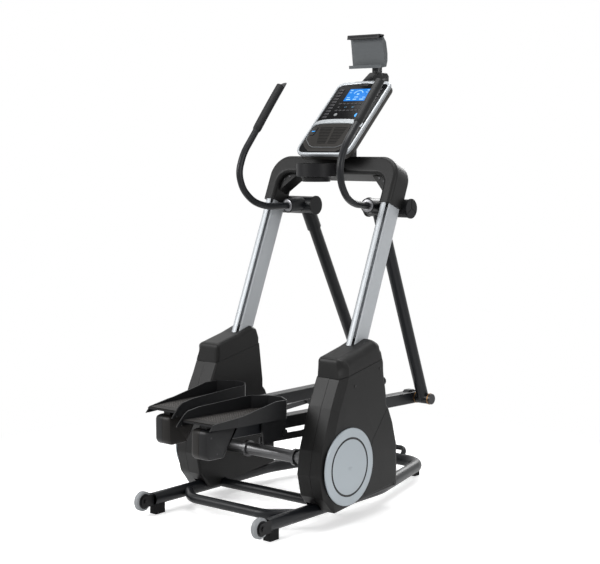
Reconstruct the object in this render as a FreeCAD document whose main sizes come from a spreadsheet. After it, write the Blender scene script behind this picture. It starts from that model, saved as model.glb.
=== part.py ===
"""Elliptical trainer with two hanging swing arms, level pedal beams and a cross shaft.

The frame is a pair of floor rails that close in a front loop. Two leaning uprights stand on the
rails inside plastic shrouds and carry an arch with the console. A swing arm hangs on each side of
the arch, a handle above its pivot and a leg below it, and the leg's lower end carries the front of
a long pedal beam. +X is forward, +Y is the user's left and +Z is up, in millimetres.
"""
import FreeCAD, Part
import math
import os
import re

import Sketcher

os.makedirs("parts", exist_ok=True)
doc = FreeCAD.newDocument("EllipticalTrainer")
sheet = doc.addObject("Spreadsheet::Sheet", "size")

SIZES = [
    # floor frame
    ("crank_x", -152.6, "crank axis, from the origin along X"),
    ("rail_radius", 25.4, "outside radius of the floor rails"),
    ("rail_wall", 2.5, "wall of the floor rails"),
    ("rail_y", 295, "rail axis from the middle plane"),
    ("rail_z", 60, "rail axis above the floor"),
    ("rail_rear", -378, "rear end of the rails, from the crank axis"),
    ("rail_joint", 240, "weld between rail and front loop, from the crank axis"),
    ("loop_front", 800, "axis of the loop's front run, from the crank axis"),
    ("loop_half", 172, "half of the loop's front run, to its corners"),
    ("cross_radius", 19, "outside radius of the cross tubes"),
    ("cross_wall", 2, "wall of the cross tubes"),
    ("handle_bar", 11, "radius of the lift handle's bar"),
    ("foot_long", 50, "rubber foot along the rail"),
    ("foot_wide", 34, "rubber foot across the rail"),
    ("foot_seat", 9, "foot's rim below the rail's axis"),
    # rear transport wheels
    ("wheel_radius", 39, "tyre radius"),
    ("wheel_rim", 30, "radius of the hub under the tyre"),
    ("wheel_wide", 24, "width of tyre and hub"),
    ("wheel_x", -423, "wheel axle, from the crank axis"),
    ("wheel_y", 303, "wheel's middle, from the middle plane"),
    ("wheel_axle", 5, "radius of the wheel axle"),
    ("cheek", 4, "thickness of the wheel bracket's cheeks"),
    ("cheek_gap", 2, "space between wheel and cheek"),
    ("running", 0.05, "radial clearance of a running fit"),
    # uprights and arch
    ("lean", 22.5, "forward lean of uprights and arch, in degrees"),
    ("upright_deep", 100, "upright section, fore and aft"),
    ("upright_wide", 45, "upright section, across"),
    ("upright_wall", 3, "wall of the uprights"),
    ("upright_y", 300, "upright's middle, from the middle plane"),
    ("upright_low", 600, "height of the upright's lower end"),
    ("upright_top", 1199, "height of the joint between upright and arch"),
    ("upright_x", 378, "upright's axis at that joint, from the crank axis"),
    ("arch_in", 274, "inner face of the arch's legs"),
    ("arch_out", 330, "outer face of the arch's legs"),
    ("arch_rise", 197, "arch height along the lean"),
    ("arch_bar", 78, "depth of the arch's cross bar"),
    ("arch_round", 90, "outer corner radius of the arch"),
    # shrouds
    ("shroud_in", 258, "inner face of the shrouds"),
    ("shroud_seam", 323, "joint between inner and outer shell"),
    ("shroud_out", 385, "outer face of the shrouds"),
    ("shroud_wall", 2.5, "wall of the shroud mouldings"),
    ("shroud_low", 55, "lower edge of the shrouds"),
    ("shroud_rake", 0.11, "rise of that edge towards the front, per length"),
    ("shroud_sole", 50, "where the shrouds' outline closes before its sole is cut off"),
    ("shroud_round", 9, "rounding of the shrouds' outer edges"),
    ("shroud_gap", 3, "space between a shroud and what passes through it"),
    ("inlet_radius", 9, "power inlet's neck in the shroud's front wall"),
    ("screw_radius", 4.5, "visible screw heads"),
    ("screw_head", 2, "height of those heads"),
    ("seam_rear", 562, "height of the cap seam at the rear"),
    ("seam_front", 614, "height of the cap seam at the front"),
    ("seam_gap", 0.4, "gap along the shrouds' seams"),
    # crank shaft and drive
    ("crank_z", 222.5, "crank axis above the floor"),
    ("shaft_radius", 25, "bright part of the cross shaft"),
    ("journal", 15, "shaft radius in its bearings"),
    ("collar_radius", 33, "stop collars on the cross shaft"),
    ("disc_radius", 149.5, "side disc"),
    ("disc_thick", 6, "side disc's rim"),
    ("bearing_radius", 31, "outside radius of the crank bearings"),
    ("bearing_wide", 20, "width of the crank bearings"),
    ("plate_in", 294, "inner face of the drive plates"),
    ("plate_thick", 12, "thickness of the drive plates"),
    ("pulley_radius", 108, "drive pulley"),
    ("pinion_radius", 24, "small pulley on the flywheel"),
    ("pulley_in", 332, "inner face of the drive pulley"),
    ("pulley_wide", 18, "width of the pulleys"),
    ("belt_thick", 3, "drive belt"),
    ("belt_gap", 0.3, "space between belt and pulleys"),
    ("flywheel_x", 205, "flywheel axle, from the crank axis"),
    ("flywheel_radius", 94, "flywheel"),
    ("flywheel_wide", 20, "width of the flywheel's rim"),
    ("flywheel_in", 354, "inner face of the flywheel"),
    ("axle_radius", 8, "flywheel axle"),
    ("magnet_gap", 2, "air gap between magnets and flywheel"),
    # swing arms
    ("hub_x", 452, "arm axis, from the crank axis"),
    ("hub_z", 1189, "arm axis above the floor"),
    ("hub_radius", 37, "arm hub barrel"),
    ("hub_in", 143.5, "inner end of the arm hub"),
    ("hub_out", 271.5, "outer end of the arm hub"),
    ("hub_play", 0.5, "end play of the arm hub"),
    ("cap_radius", 40, "end caps of the arm axle"),
    ("cap_thick", 6, "thickness of those caps"),
    ("bracket_out", 352, "outer end of the arm bracket"),
    ("arm_axle", 12.5, "radius of the arm axle"),
    ("leg_long", 901, "arm axis to lower pivot"),
    ("leg_radius", 25.4, "leg tube"),
    ("leg_wall", 3, "wall of the leg tube"),
    ("leg_y", 190, "leg's axis, from the middle plane"),
    ("leg_seat", 45, "depth of the leg's upper end below the arm axis"),
    ("boot_radius", 30.5, "socket round the leg's upper end"),
    ("boot_end", 112, "socket's lower end below the arm axis"),
    ("bar_radius", 14, "handle tube"),
    ("bar_wall", 2, "wall of the handle tube"),
    ("grip_radius", 17.5, "foam grip"),
    ("grip_gap", 0.2, "space between the grip and its tube"),
    ("right_angle", 21.7, "right leg's angle at rest, in degrees"),
    ("left_angle", 28, "left leg's angle at rest, in degrees"),
    # lower pivots and beams
    ("pin_radius", 10, "lower pivot pin"),
    ("pivot_radius", 23, "pivot tube, washers and cap"),
    ("washer_thick", 3, "bronze washers"),
    ("washer_gap", 0.3, "end play at each washer"),
    ("pivot_cap", 11, "length of the pivot cap"),
    ("pivot_long", 64, "length of the pivot tube"),
    ("beam_side", 50, "beam's square section"),
    ("beam_wall", 3, "wall of the beam"),
    ("beam_y", 132, "beam's middle, from the middle plane"),
    ("beam_front", 26, "beam's front end ahead of the pivot"),
    ("beam_rear", 1322, "beam's rear end behind the pivot"),
    ("right_slope", 1.9, "right beam's rise to the rear, in degrees"),
    ("left_slope", 0.3, "left beam's rise to the rear, in degrees"),
    # pods, pedals and tie bars, measured from the lower pivot along the beam
    ("pod_rear", 1351, "pod's rear face"),
    ("pod_long", 170, "pod's length at its top"),
    ("pod_cut", 97, "pod's length at its bottom"),
    ("pod_top", 28, "pod's top above the beam's axis"),
    ("pod_low", 85, "pod's bottom below the beam's axis"),
    ("pod_wide", 80, "pod's width"),
    ("pod_y", 138, "pod's middle, from the middle plane"),
    ("pod_wall", 2.5, "wall of the pod covers"),
    ("pedal_pivot_x", 916, "pedal bolt behind the lower pivot"),
    ("pedal_pivot_z", 33, "pedal bolt below the beam's axis"),
    ("pedal_bolt", 6, "radius of the pedal bolt"),
    ("pedal_rear", 1355, "pedal's rear edge"),
    ("pedal_long", 441, "pedal's length"),
    ("pedal_in", 53, "pedal's inner edge, from the middle plane"),
    ("pedal_out", 223, "pedal's outer edge"),
    ("pedal_floor", 46, "underside of the pedal's floor above the beam's axis"),
    ("pedal_thick", 5, "pedal's floor and walls"),
    ("pedal_wall", 103, "top of the pedal's toe above the beam's axis"),
    ("pedal_skirt", 32, "lower edge of the pedal's skirt above the beam's axis"),
    ("seat_gap", 0.3, "space between the pedal's rest block and the pod"),
    ("tread_thick", 4, "rubber tread"),
    ("tread_gap", 3, "space round the tread"),
    ("tie_rear_x", 1017, "tie bar's rear eye behind the lower pivot"),
    ("tie_rear_z", 53, "tie bar's rear eye below the beam's axis"),
    ("tie_front_x", 405, "tie bar's front eye"),
    ("tie_front_z", 40, "tie bar's front eye below the beam's axis"),
    ("tie_thick", 8, "tie bar's thickness"),
    ("tie_in", 146, "tie bar's inner face, from the middle plane"),
    ("tie_pin", 5, "radius of the tie bar's pins"),
    # console
    ("face_angle", 43.8, "console face above the horizontal, in degrees"),
    ("console_x", 462, "middle of the console's face, from the crank axis"),
    ("console_z", 1558, "middle of the console's face above the floor"),
    ("console_long", 440, "console along its slope"),
    ("console_wide", 276, "console across"),
    ("console_deep", 40, "console housing's depth"),
    ("console_wall", 3, "wall of the console housing"),
    ("face_thick", 3, "console face plate"),
    ("screen_long", 72, "display along the slope"),
    ("screen_wide", 112, "display across"),
    ("screen_up", 131, "display's middle above the face's middle"),
    ("neck_half", 40, "half width of the console neck"),
    ("tray_x", 281, "cup tray's middle, from the crank axis"),
    ("tray_radius", 81, "cup tray's rim"),
    ("well_radius", 57, "cup well"),
    ("tray_top", 1368, "cup tray's rim above the floor"),
    ("tray_wall", 3, "wall of the cup tray"),
    ("tablet_wide", 166, "tablet holder's width"),
    ("post_x", 696, "post of the tablet holder, from the crank axis"),
    ("post_radius", 22, "radius of that post"),
    ("tablet_x", 635, "foot of the tablet holder's back plate, from the crank axis"),
    ("tablet_low", 1768, "lower edge of that plate above the floor"),
    ("tablet_tall", 126, "height of that plate"),
    ("tablet_thick", 8, "thickness of that plate"),
    ("tablet_lean", -8, "lean of the tablet holder, in degrees"),
]
for row, (alias, value, note) in enumerate(SIZES, 1):
    sheet.set(f"A{row}", note)
    sheet.set(f"B{row}", str(value))
    sheet.setAlias(f"B{row}", alias)
doc.recompute()

NODES = []
SIDES = [("right", -1), ("left", 1)]
AXES = {"X": FreeCAD.Vector(1, 0, 0), "Y": FreeCAD.Vector(0, 1, 0), "Z": FreeCAD.Vector(0, 0, 1)}


def named(text):
    """Point every size's name at the sheet."""
    return re.sub(r"\b([a-z][a-z_]*)\b(?!\s*\()", r"size.\1", str(text))


def number(text):
    """The present value of a size or of a sum of sizes."""
    return float(sheet.evalExpression(str(text)))


def point(triple):
    return FreeCAD.Vector(*(number(text) for text in triple))


def place(obj, x="0", y="0", z="0", turn=0.0):
    """Set an object's Placement: x is measured from the crank axis, turn is about Y."""
    base = FreeCAD.Vector(number("crank_x") + number(x), number(y), number(z))
    obj.Placement = FreeCAD.Placement(base, FreeCAD.Rotation(AXES["Y"], turn))
    return obj


def node(obj):
    NODES.append(obj)
    return obj


# ---- PartDesign -------------------------------------------------------------------------------

def body(label):
    return doc.addObject("PartDesign::Body", label)


def sketch(owner, plane, shapes, offset="0"):
    """A sketch on an origin plane: circles, and polygons whose corners are bound to the sheet."""
    flat = owner.newObject("Sketcher::SketchObject", "Sketch")
    role = plane + "_Plane"
    origin_plane = next(f for f in owner.Origin.OriginFeatures if f.Role == role)
    flat.AttachmentSupport = [(origin_plane, "")]
    flat.MapMode = "FlatFace"
    flat.setExpression("AttachmentOffset.Base.z", named(offset))

    def fix(kind, geometry, corner, text):
        rule = flat.addConstraint(Sketcher.Constraint(kind, -1, 1, geometry, corner, number(text)))
        flat.setExpression(f"Constraints[{rule}]", named(text))

    for shape in shapes:
        if shape[0] == "circle":
            _, across, up, radius = shape
            centre = FreeCAD.Vector(number(across), number(up), 0)
            ring = flat.addGeometry(Part.Circle(centre, AXES["Z"], number(radius)))
            fix("DistanceX", ring, 3, across)
            fix("DistanceY", ring, 3, up)
            rule = flat.addConstraint(Sketcher.Constraint("Radius", ring, number(radius)))
            flat.setExpression(f"Constraints[{rule}]", named(radius))
            continue
        corners = [FreeCAD.Vector(number(across), number(up), 0) for across, up in shape]
        lines = []
        for here, there in zip(corners, corners[1:] + corners[:1]):
            lines.append(flat.addGeometry(Part.LineSegment(here, there)))
        for one, other in zip(lines, lines[1:] + lines[:1]):
            flat.addConstraint(Sketcher.Constraint("Coincident", one, 2, other, 1))
        for line, (across, up) in zip(lines, shape):
            fix("DistanceX", line, 1, across)
            fix("DistanceY", line, 1, up)
    return flat


def extrude(kind, owner, plane, shapes, low, high):
    """Pad or Pocket shapes drawn on a plane, from low to high along that plane's axis."""
    facing = "-1" if plane == "XZ" else "1"
    profile = sketch(owner, plane, shapes, f"{facing} * (({low}) + ({high})) / 2")
    feature = owner.newObject("PartDesign::" + kind, kind)
    feature.Profile = profile
    feature.Midplane = True
    feature.setExpression("Length", named(f"abs(({high}) - ({low}))"))
    owner.Tip = feature
    return feature


def pad(owner, plane, shapes, low, high):
    return extrude("Pad", owner, plane, shapes, low, high)


def pocket(owner, plane, shapes, low, high):
    before = recomputed(owner.Tip).Shape.Volume
    feature = extrude("Pocket", owner, plane, shapes, low, high)
    if not recomputed(feature).Shape.Volume < before:
        raise RuntimeError(owner.Label + ": a pocket cuts nothing")
    return feature


def recomputed(feature):
    doc.recompute()
    return feature


def turn(owner, profile, plane="XY", axis="V_Axis"):
    """Revolve a profile given as (radius, distance along the axis)."""
    flat = sketch(owner, plane, [profile])
    feature = owner.newObject("PartDesign::Revolution", "Revolution")
    feature.Profile = flat
    feature.ReferenceAxis = (flat, [axis])
    feature.Angle = 360
    owner.Tip = feature
    return feature


def round_edges(owner, radius, wanted):
    base = recomputed(owner.Tip)
    edges = [f"Edge{n}" for n, edge in enumerate(base.Shape.Edges, 1) if wanted(edge)]
    feature = owner.newObject("PartDesign::Fillet", "Fillet")
    feature.Base = (base, edges)
    feature.setExpression("Radius", named(radius))
    owner.Tip = feature
    return feature


def hollow(owner, wall, opened):
    base = recomputed(owner.Tip)
    faces = [f"Face{n}" for n, face in enumerate(base.Shape.Faces, 1) if opened(face)]
    feature = owner.newObject("PartDesign::Thickness", "Thickness")
    feature.Base = (base, faces)
    feature.setExpression("Value", named(wall))
    feature.Reversed = True
    owner.Tip = feature
    return feature


def runs_along(edge, axis):
    if edge.Curve.TypeId != "Part::GeomLine":
        return False
    return abs(edge.Curve.Direction.dot(AXES[axis])) > 0.999


def middle(edge):
    return edge.CenterOfMass


def box(left, low, right, high):
    """A rectangle's corners from its lower left and upper right."""
    return [(left, low), (right, low), (right, high), (left, high)]


# ---- Part primitives and booleans -------------------------------------------------------------

def rod(label, radius, length, at=("0", "0", "0"), along=AXES["Z"]):
    cylinder = doc.addObject("Part::Cylinder", label)
    cylinder.setExpression("Radius", named(radius))
    cylinder.setExpression("Height", named(length))
    cylinder.Placement = FreeCAD.Placement(point(at), FreeCAD.Rotation(AXES["Z"], along))
    return cylinder


def block(label, sides, at):
    cuboid = doc.addObject("Part::Box", label)
    for name, text in zip(("Length", "Width", "Height"), sides):
        cuboid.setExpression(name, named(text))
    cuboid.Placement = FreeCAD.Placement(point(at), FreeCAD.Rotation())
    return cuboid


def fuse(label, *pieces):
    joined = doc.addObject("Part::MultiFuse", label)
    joined.Shapes = list(pieces)
    return joined


def cut(label, base, *tools):
    tool = tools[0] if len(tools) == 1 else fuse(label + "_tools", *tools)
    result = doc.addObject("Part::Cut", label)
    result.Base = base
    result.Tool = tool
    return result


def group(label, *pieces):
    """Separate solids that share one node."""
    together = doc.addObject("Part::Compound", label)
    together.Links = list(pieces)
    return together


def pipe(label, radius, wall, length, at=("0", "0", "0"), along=AXES["Z"]):
    outer = rod(label + "_outside", radius, length, at, along)
    inner = rod(label + "_inside", f"{radius} - {wall}", length, at, along)
    return cut(label, outer, inner)


def bend_radii(points):
    """The largest arc that each corner's two runs allow."""
    radii = []
    for before, corner, after in zip(points, points[1:], points[2:]):
        half_turn = (corner - before).getAngle(after - corner) / 2
        shorter = min((corner - before).Length, (after - corner).Length)
        radii.append(0.45 * shorter / math.tan(half_turn))
    return radii


def bent_path(points, radii):
    """Straight runs joined by arcs that touch both."""
    edges = []
    start = points[0]
    for corner, after, radius, before in zip(points[1:], points[2:], radii, points):
        inward = (before - corner).normalize()
        outward = (after - corner).normalize()
        half_turn = (math.pi - inward.getAngle(outward)) / 2
        reach = radius * math.tan(half_turn)
        bisector = (inward + outward).normalize()
        depth = radius / math.cos(half_turn) - radius
        arc = Part.Arc(corner + inward * reach, corner + bisector * depth, corner + outward * reach)
        edges.append(Part.LineSegment(start, corner + inward * reach).toShape())
        edges.append(arc.toShape())
        start = corner + outward * reach
    edges.append(Part.LineSegment(start, points[-1]).toShape())
    return Part.Wire(edges)


def swept(path, radius):
    first = path.OrderedEdges[0]
    start = first.valueAt(first.FirstParameter)
    ring = Part.Wire(Part.makeCircle(radius, start, first.tangentAt(first.FirstParameter)))
    return path.makePipeShell([ring], True, False)


def bent_pipe(label, points, radii, radius, wall):
    """A bent tube, or a bent bar when its wall is as thick as its radius."""
    path = bent_path(points, radii)
    shape = swept(path, number(radius))
    bore = number(radius) - number(wall)
    if bore > 0.01:
        shape = shape.cut(swept(path, bore))
    feature = doc.addObject("Part::Feature", label)
    feature.Shape = shape
    return feature


# ---- floor frame ------------------------------------------------------------------------------

rails = []
for name, side in SIDES:
    seat = ("rail_rear", f"{side} * rail_y", "rail_z")
    rails.append(pipe(name + "_rail", "rail_radius", "rail_wall", "rail_joint - rail_rear", seat, AXES["X"]))
node(place(group("base_rails", *rails)))

loop_side = [("rail_joint", "rail_y"), ("330", "rail_y"), ("loop_front", "loop_half")]
loop_route = [(x, f"-1 * ({y})", "rail_z") for x, y in loop_side]
loop_route += [(x, y, "rail_z") for x, y in reversed(loop_side)]
loop_points = [point(corner) for corner in loop_route]
LOOP_BENDS = [300, 110, 110, 300]
node(place(bent_pipe("front_loop", loop_points, LOOP_BENDS, "rail_radius", "rail_wall")))


def rail_stock(label):
    """Solid bars where the rails and the loop's front run lie, to cope what is welded to them."""
    bars = []
    for name, side in SIDES:
        seat = ("rail_rear", f"{side} * rail_y", "rail_z")
        bars.append(rod(f"{label}_{name}", "rail_radius", "rail_joint - rail_rear", seat, AXES["X"]))
    bars.append(bent_pipe(label + "_front", loop_points, LOOP_BENDS, "rail_radius", "rail_radius"))
    return fuse(label, *bars)


middle_tube = pipe("middle_tube", "cross_radius", "cross_wall", "2 * rail_y",
                   ("0", "-1 * rail_y", "rail_z"), AXES["Y"])
bow = [("-175", "rail_y"), ("-265", "190")]
bow_route = [(x, f"-1 * ({y})", "rail_z") for x, y in bow] + [(x, y, "rail_z") for x, y in reversed(bow)]
rear_tube = bent_pipe("rear_tube", [point(corner) for corner in bow_route], [90, 90],
                      "cross_radius", "cross_wall")
cross_stock = fuse("cross_tubes_uncut", middle_tube, rear_tube)
node(place(cut("cross_tubes", cross_stock, rail_stock("cross_cope"))))

lift_route = [("loop_front", "-62", "rail_z"), ("loop_front + 38", "-62", "rail_z + 42"),
              ("loop_front + 38", "62", "rail_z + 42"), ("loop_front", "62", "rail_z")]
lift_bar = bent_pipe("lift_bar", [point(corner) for corner in lift_route], [24, 24], "handle_bar", "handle_bar")
node(place(cut("lift_handle", lift_bar, rail_stock("lift_cope"))))

feet = []
for x, y in (("-350", "rail_y"), ("loop_front", "128")):
    for name, side in SIDES:
        across = x == "loop_front"
        plan = ("foot_wide", "foot_long") if across else ("foot_long", "foot_wide")
        corner = (f"{x} - {plan[0]} / 2", f"{side} * {y} - {plan[1]} / 2", "0")
        feet.append(block(f"{name}_foot", (*plan, "rail_z - foot_seat"), corner))
node(place(cut("rubber_feet", fuse("feet_uncut", *feet), rail_stock("foot_cope"))))

# ---- transport wheels -------------------------------------------------------------------------

brackets = []
axles = []
for name, side in SIDES:
    inner = "wheel_y - wheel_wide / 2 - cheek_gap - cheek"
    outer = "wheel_y + wheel_wide / 2 + cheek_gap + cheek"
    fork = body(name + "_wheel_bracket")
    cheek_side = box("wheel_x", "rail_z - 23", "rail_rear - cheek", "rail_z + 23")
    for low in (inner, f"{outer} - cheek"):
        span = (f"{side} * ({low})", f"{side} * ({low} + cheek)")
        pad(fork, "XZ", [cheek_side], *span)
        pad(fork, "XZ", [("circle", "wheel_x", "rail_z", "23")], *span)
    pad(fork, "XZ", [box("rail_rear - cheek", "rail_z - 23", "rail_rear", "rail_z + 23")],
        f"{side} * ({inner})", f"{side} * ({outer})")
    pocket(fork, "XZ", [("circle", "wheel_x", "rail_z", "wheel_axle")],
           f"{side} * ({inner} - 1)", f"{side} * ({outer} + 1)")
    brackets.append(fork)
    along = AXES["Y"] * side
    bolt = rod(name + "_axle_bolt", "wheel_axle", f"{outer} - ({inner}) + 5",
               ("wheel_x", f"{side} * ({inner} - 5)", "rail_z"), along)
    head = rod(name + "_axle_head", "wheel_axle + 4", "5", ("wheel_x", f"{side} * ({outer})", "rail_z"), along)
    nut = rod(name + "_axle_nut", "wheel_axle + 4", "5", ("wheel_x", f"{side} * ({inner} - 5)", "rail_z"), along)
    axles.append(fuse(name + "_wheel_axle", bolt, head, nut))
node(place(group("wheel_brackets", *brackets)))
node(place(group("wheel_axles", *axles)))

for name, side in SIDES:
    hub = body(name + "_wheel_hub")
    half = "wheel_wide / 2"
    turn(hub, box("wheel_axle + running", f"-{half}", "wheel_rim", half))
    tyre = body(name + "_tyre")
    turn(tyre, [("wheel_rim", f"-{half}"), ("wheel_radius - 4", f"-{half}"), ("wheel_radius", f"-{half} + 5"),
                ("wheel_radius", f"{half} - 5"), ("wheel_radius - 4", half), ("wheel_rim", half)])
    node(place(group(name + "_wheel", hub, tyre), "wheel_x", f"{side} * wheel_y", "rail_z"))

# ---- drive plates, uprights and arch ----------------------------------------------------------

LEAN = number("lean")
upright_foot = ("upright_x - (upright_top - upright_low) * tan(lean)", "upright_low")
plates = []
for name, side in SIDES:
    plate = body(name + "_drive_plate")
    half_back = "upright_deep / 2 * cos(lean)"
    half_drop = "upright_deep / 2 * sin(lean)"
    foot_x, foot_z = upright_foot
    outline = [("-100", "rail_z + rail_radius"), ("262", "rail_z + rail_radius"), ("262", "250"),
               (f"{foot_x} + {half_back}", f"{foot_z} - {half_drop}"),
               (f"{foot_x} - {half_back}", f"{foot_z} + {half_drop}"), ("-75", "250")]
    span = (f"{side} * plate_in", f"{side} * (plate_in + plate_thick)")
    pad(plate, "XZ", [outline], *span)
    holes = [("circle", "0", "crank_z", "bearing_radius"), ("circle", "flywheel_x", "crank_z", "axle_radius")]
    pocket(plate, "XZ", holes, *span)
    plates.append(plate)
node(place(group("drive_plates", *plates)))


def upright_section(extra="0"):
    deep = f"upright_deep / 2 + {extra}"
    wide = f"upright_wide / 2 + {extra}"
    return box(f"-1 * ({deep})", f"-1 * ({wide})", deep, wide)


def upright_bar(label, side, extra, low, high):
    """The uprights' outline as a leaning bar, its length measured up the lean from the foot."""
    bar = body(label)
    pad(bar, "XY", [upright_section(extra)], low, high)
    round_edges(bar, f"upright_wide / 2 - 1 + {extra}", lambda edge: runs_along(edge, "Z"))
    place(bar, upright_foot[0], f"{side} * upright_y", upright_foot[1], LEAN)
    return bar


uprights = []
for name, side in SIDES:
    height = "(upright_top - upright_low) / cos(lean)"
    bar = upright_bar(name + "_upright", side, "0", "0", height)
    inner = box("-upright_deep / 2 + upright_wall", "-upright_wide / 2 + upright_wall",
                "upright_deep / 2 - upright_wall", "upright_wide / 2 - upright_wall")
    pocket(bar, "XY", [inner], "-1", f"{height} + 1")
    uprights.append(bar)
node(group("uprights", *uprights))

arch = body("top_arch")
arch_outer = box("-1 * arch_out", "0", "arch_out", "arch_rise")
pad(arch, "YZ", [arch_outer], "-upright_deep / 2 - 2", "upright_deep / 2 + 2")
round_edges(arch, "arch_round", lambda edge: runs_along(edge, "X") and middle(edge).z > 1)
pocket(arch, "YZ", [box("-1 * arch_in", "-1", "arch_in", "arch_rise - arch_bar")],
       "-1 * upright_deep", "upright_deep")
round_edges(arch, "arch_round / 2", lambda edge: runs_along(edge, "X") and 1 < middle(edge).z < number("arch_rise - 1")
            and abs(middle(edge).y) < number("arch_in + 1"))
round_edges(arch, "16", lambda edge: abs(abs(middle(edge).x) - number("upright_deep / 2 + 2")) < 0.01
            and middle(edge).z > 1)
node(place(arch, "upright_x", "0", "upright_top", LEAN))

gussets = []
for name, side in SIDES:
    gusset = body(name + "_corner_plate")
    edge_y = f"{side} * (arch_in + 1)"
    low_z = "arch_rise - arch_bar - 74"
    high_z = "arch_rise - arch_bar + 1"
    pad(gusset, "YZ", [[(edge_y, low_z), (edge_y, high_z), (f"{side} * (arch_in - 78)", high_z)]], "-26", "26")
    place(gusset, "upright_x", "0", "upright_top", LEAN)
    gussets.append(cut(name + "_corner_plate_fitted", gusset, arch))
node(group("arch_corner_plates", *gussets))

brackets = []
for name, side in SIDES:
    bracket = body(name + "_arm_bracket")
    inboard = "hub_in - hub_play"
    outboard = "hub_out + hub_play"
    steps = [("0", f"{inboard} - cap_thick"), ("cap_radius", f"{inboard} - cap_thick"),
             ("cap_radius", inboard), ("arm_axle", inboard), ("arm_axle", outboard),
             ("hub_radius", outboard), ("hub_radius", "bracket_out - cap_thick"),
             ("cap_radius", "bracket_out - cap_thick"), ("cap_radius", "bracket_out"), ("0", "bracket_out")]
    turn(bracket, [(radius, f"{side} * ({along})") for radius, along in steps])
    place(bracket, "hub_x", "0", "hub_z")
    stock = upright_bar(name + "_bracket_cope", side, "0", "0", "(upright_top - upright_low) / cos(lean)")
    brackets.append(cut(name + "_arm_bracket_fitted", bracket, stock, arch))
node(group("arm_brackets", *brackets))

# ---- shrouds ----------------------------------------------------------------------------------

SHROUD_BODY = [("-42", "seam_rear"), ("-91", "460"), ("-146", "300"), ("-160", "205"), ("-140", "120"),
               ("-83", "shroud_sole"), ("320", "shroud_sole"), ("320", "180"), ("318", "260"), ("291", "351"),
               ("263", "411"), ("247", "428"), ("247", "459"), ("226", "seam_front")]
SHROUD_CAP = [("-42", "seam_rear"), ("226", "seam_front"), ("226", "640"), ("210", "678"), ("180", "692"),
              ("100", "668"), ("0", "645"), ("-35", "637")]


def shroud_shell(label, side, inner, outer, outline, opened):
    """A moulding between two Y planes, rounded on the side that shows and open where it meets others."""
    shell = body(label)
    pad(shell, "XZ", [outline], f"{side} * ({inner})", f"{side} * ({outer})")
    shown = [number(text) for text in (inner, outer) if text in ("shroud_in", "shroud_out")]
    low = number("shroud_sole") + 0.1

    def rim(edge):
        spot = middle(edge)
        at_side = any(abs(abs(spot.y) - value) < 0.01 for value in shown)
        return at_side and spot.z > low and not on_seam(spot.x, spot.z)

    round_edges(shell, "shroud_round", rim)
    hollow(shell, "shroud_wall", opened)
    return shell


def seam_height(x):
    """Height of the cap seam at x."""
    share = (x + 42) / (226 + 42)
    return number("seam_rear") + share * (number("seam_front") - number("seam_rear"))


def on_seam(x, z):
    return abs(z - seam_height(x)) < 0.5


def faces_seam(face):
    spot = face.CenterOfMass
    return on_seam(spot.x, spot.z)


def faces_joint(face):
    return abs(abs(face.CenterOfMass.y) - number("shroud_seam")) < 0.5


inlet_x = "247 - (518 - 459) * (247 - 226) / (seam_front - 459)"


def shroud_openings(label, side):
    """What passes through a shroud, larger all round by the shroud gap."""
    rail = block(label + "_rail", ("900", "2 * (rail_radius + shroud_gap)", "rail_z + rail_radius + shroud_gap"),
                 ("-400", f"{side} * rail_y - rail_radius - shroud_gap", "0"))
    shaft = rod(label + "_shaft", "shaft_radius + shroud_gap", "shroud_seam",
                ("0", "0", "crank_z"), AXES["Y"] * side)
    boss = rod(label + "_boss", "journal + 5 + shroud_gap", "shroud_out + 10",
               ("0", "0", "crank_z"), AXES["Y"] * side)
    middle_cope = rod(label + "_cross", "cross_radius + shroud_gap", "rail_y",
                      ("0", "0", "rail_z"), AXES["Y"] * side)
    ways = [rail, shaft, boss, middle_cope]
    if side < 0:
        ways.append(rod(label + "_inlet", "inlet_radius", "60", (f"{inlet_x} - 30", "-1 * (shroud_out - 25)", "518"),
                        AXES["X"]))
    sole = body(label + "_sole")
    pad(sole, "XZ", [[("-250", "0"), ("400", "0"), ("400", "shroud_low + 400 * shroud_rake"), ("-83", "shroud_low"),
                      ("-250", "shroud_low")]], f"{side} * (shroud_in - 5)", f"{side} * (shroud_out + 5)")
    return fuse(label, *ways, sole)


caps = []
for name, side in SIDES:
    for part_name, inner, outer in (("shroud_inner", "shroud_in", "shroud_seam"),
                                    ("shroud_outer", "shroud_seam + seam_gap", "shroud_out")):
        shell = shroud_shell(f"{name}_{part_name}_shell", side, inner, outer, SHROUD_BODY,
                             lambda face: faces_seam(face) or faces_joint(face))
        node(place(cut(f"{name}_{part_name}", shell, shroud_openings(f"{name}_{part_name}_cut", side))))
    raised = [(x, f"{z} + seam_gap") for x, z in SHROUD_CAP]
    shell = shroud_shell(name + "_cap_shell", side, "shroud_in", "shroud_out", raised, faces_seam)
    place(shell)
    way = upright_bar(name + "_cap_way", side, "shroud_gap / 2", "-60", "300")
    caps.append(cut(name + "_shroud_cap", shell, way))
node(group("shroud_caps", *caps))

# The visible screws: shroud screws at (x, z) on each outer face, and two in each corner plate.
screws = []
for name, side in SIDES:
    for x, z in (("41", "528"), ("201", "576"), ("302", "95")):
        head = rod(name + "_screw", "screw_radius", "screw_head", (x, f"{side} * shroud_out", z), AXES["Y"] * side)
        screws.append(place(group(name + "_shroud_screw", head)))
    for inward, up in (("14", "22"), ("40", "10")):
        seat = ("-26", f"{side} * (arch_in - {inward})", f"arch_rise - arch_bar - {up}")
        head = rod(name + "_screw", "screw_radius", "screw_head", seat, AXES["X"] * -1)
        screws.append(place(group(name + "_plate_screw", head), "upright_x", "0", "upright_top", LEAN))
node(group("frame_screws", *screws))

# ---- crank shaft and drive --------------------------------------------------------------------

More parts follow.
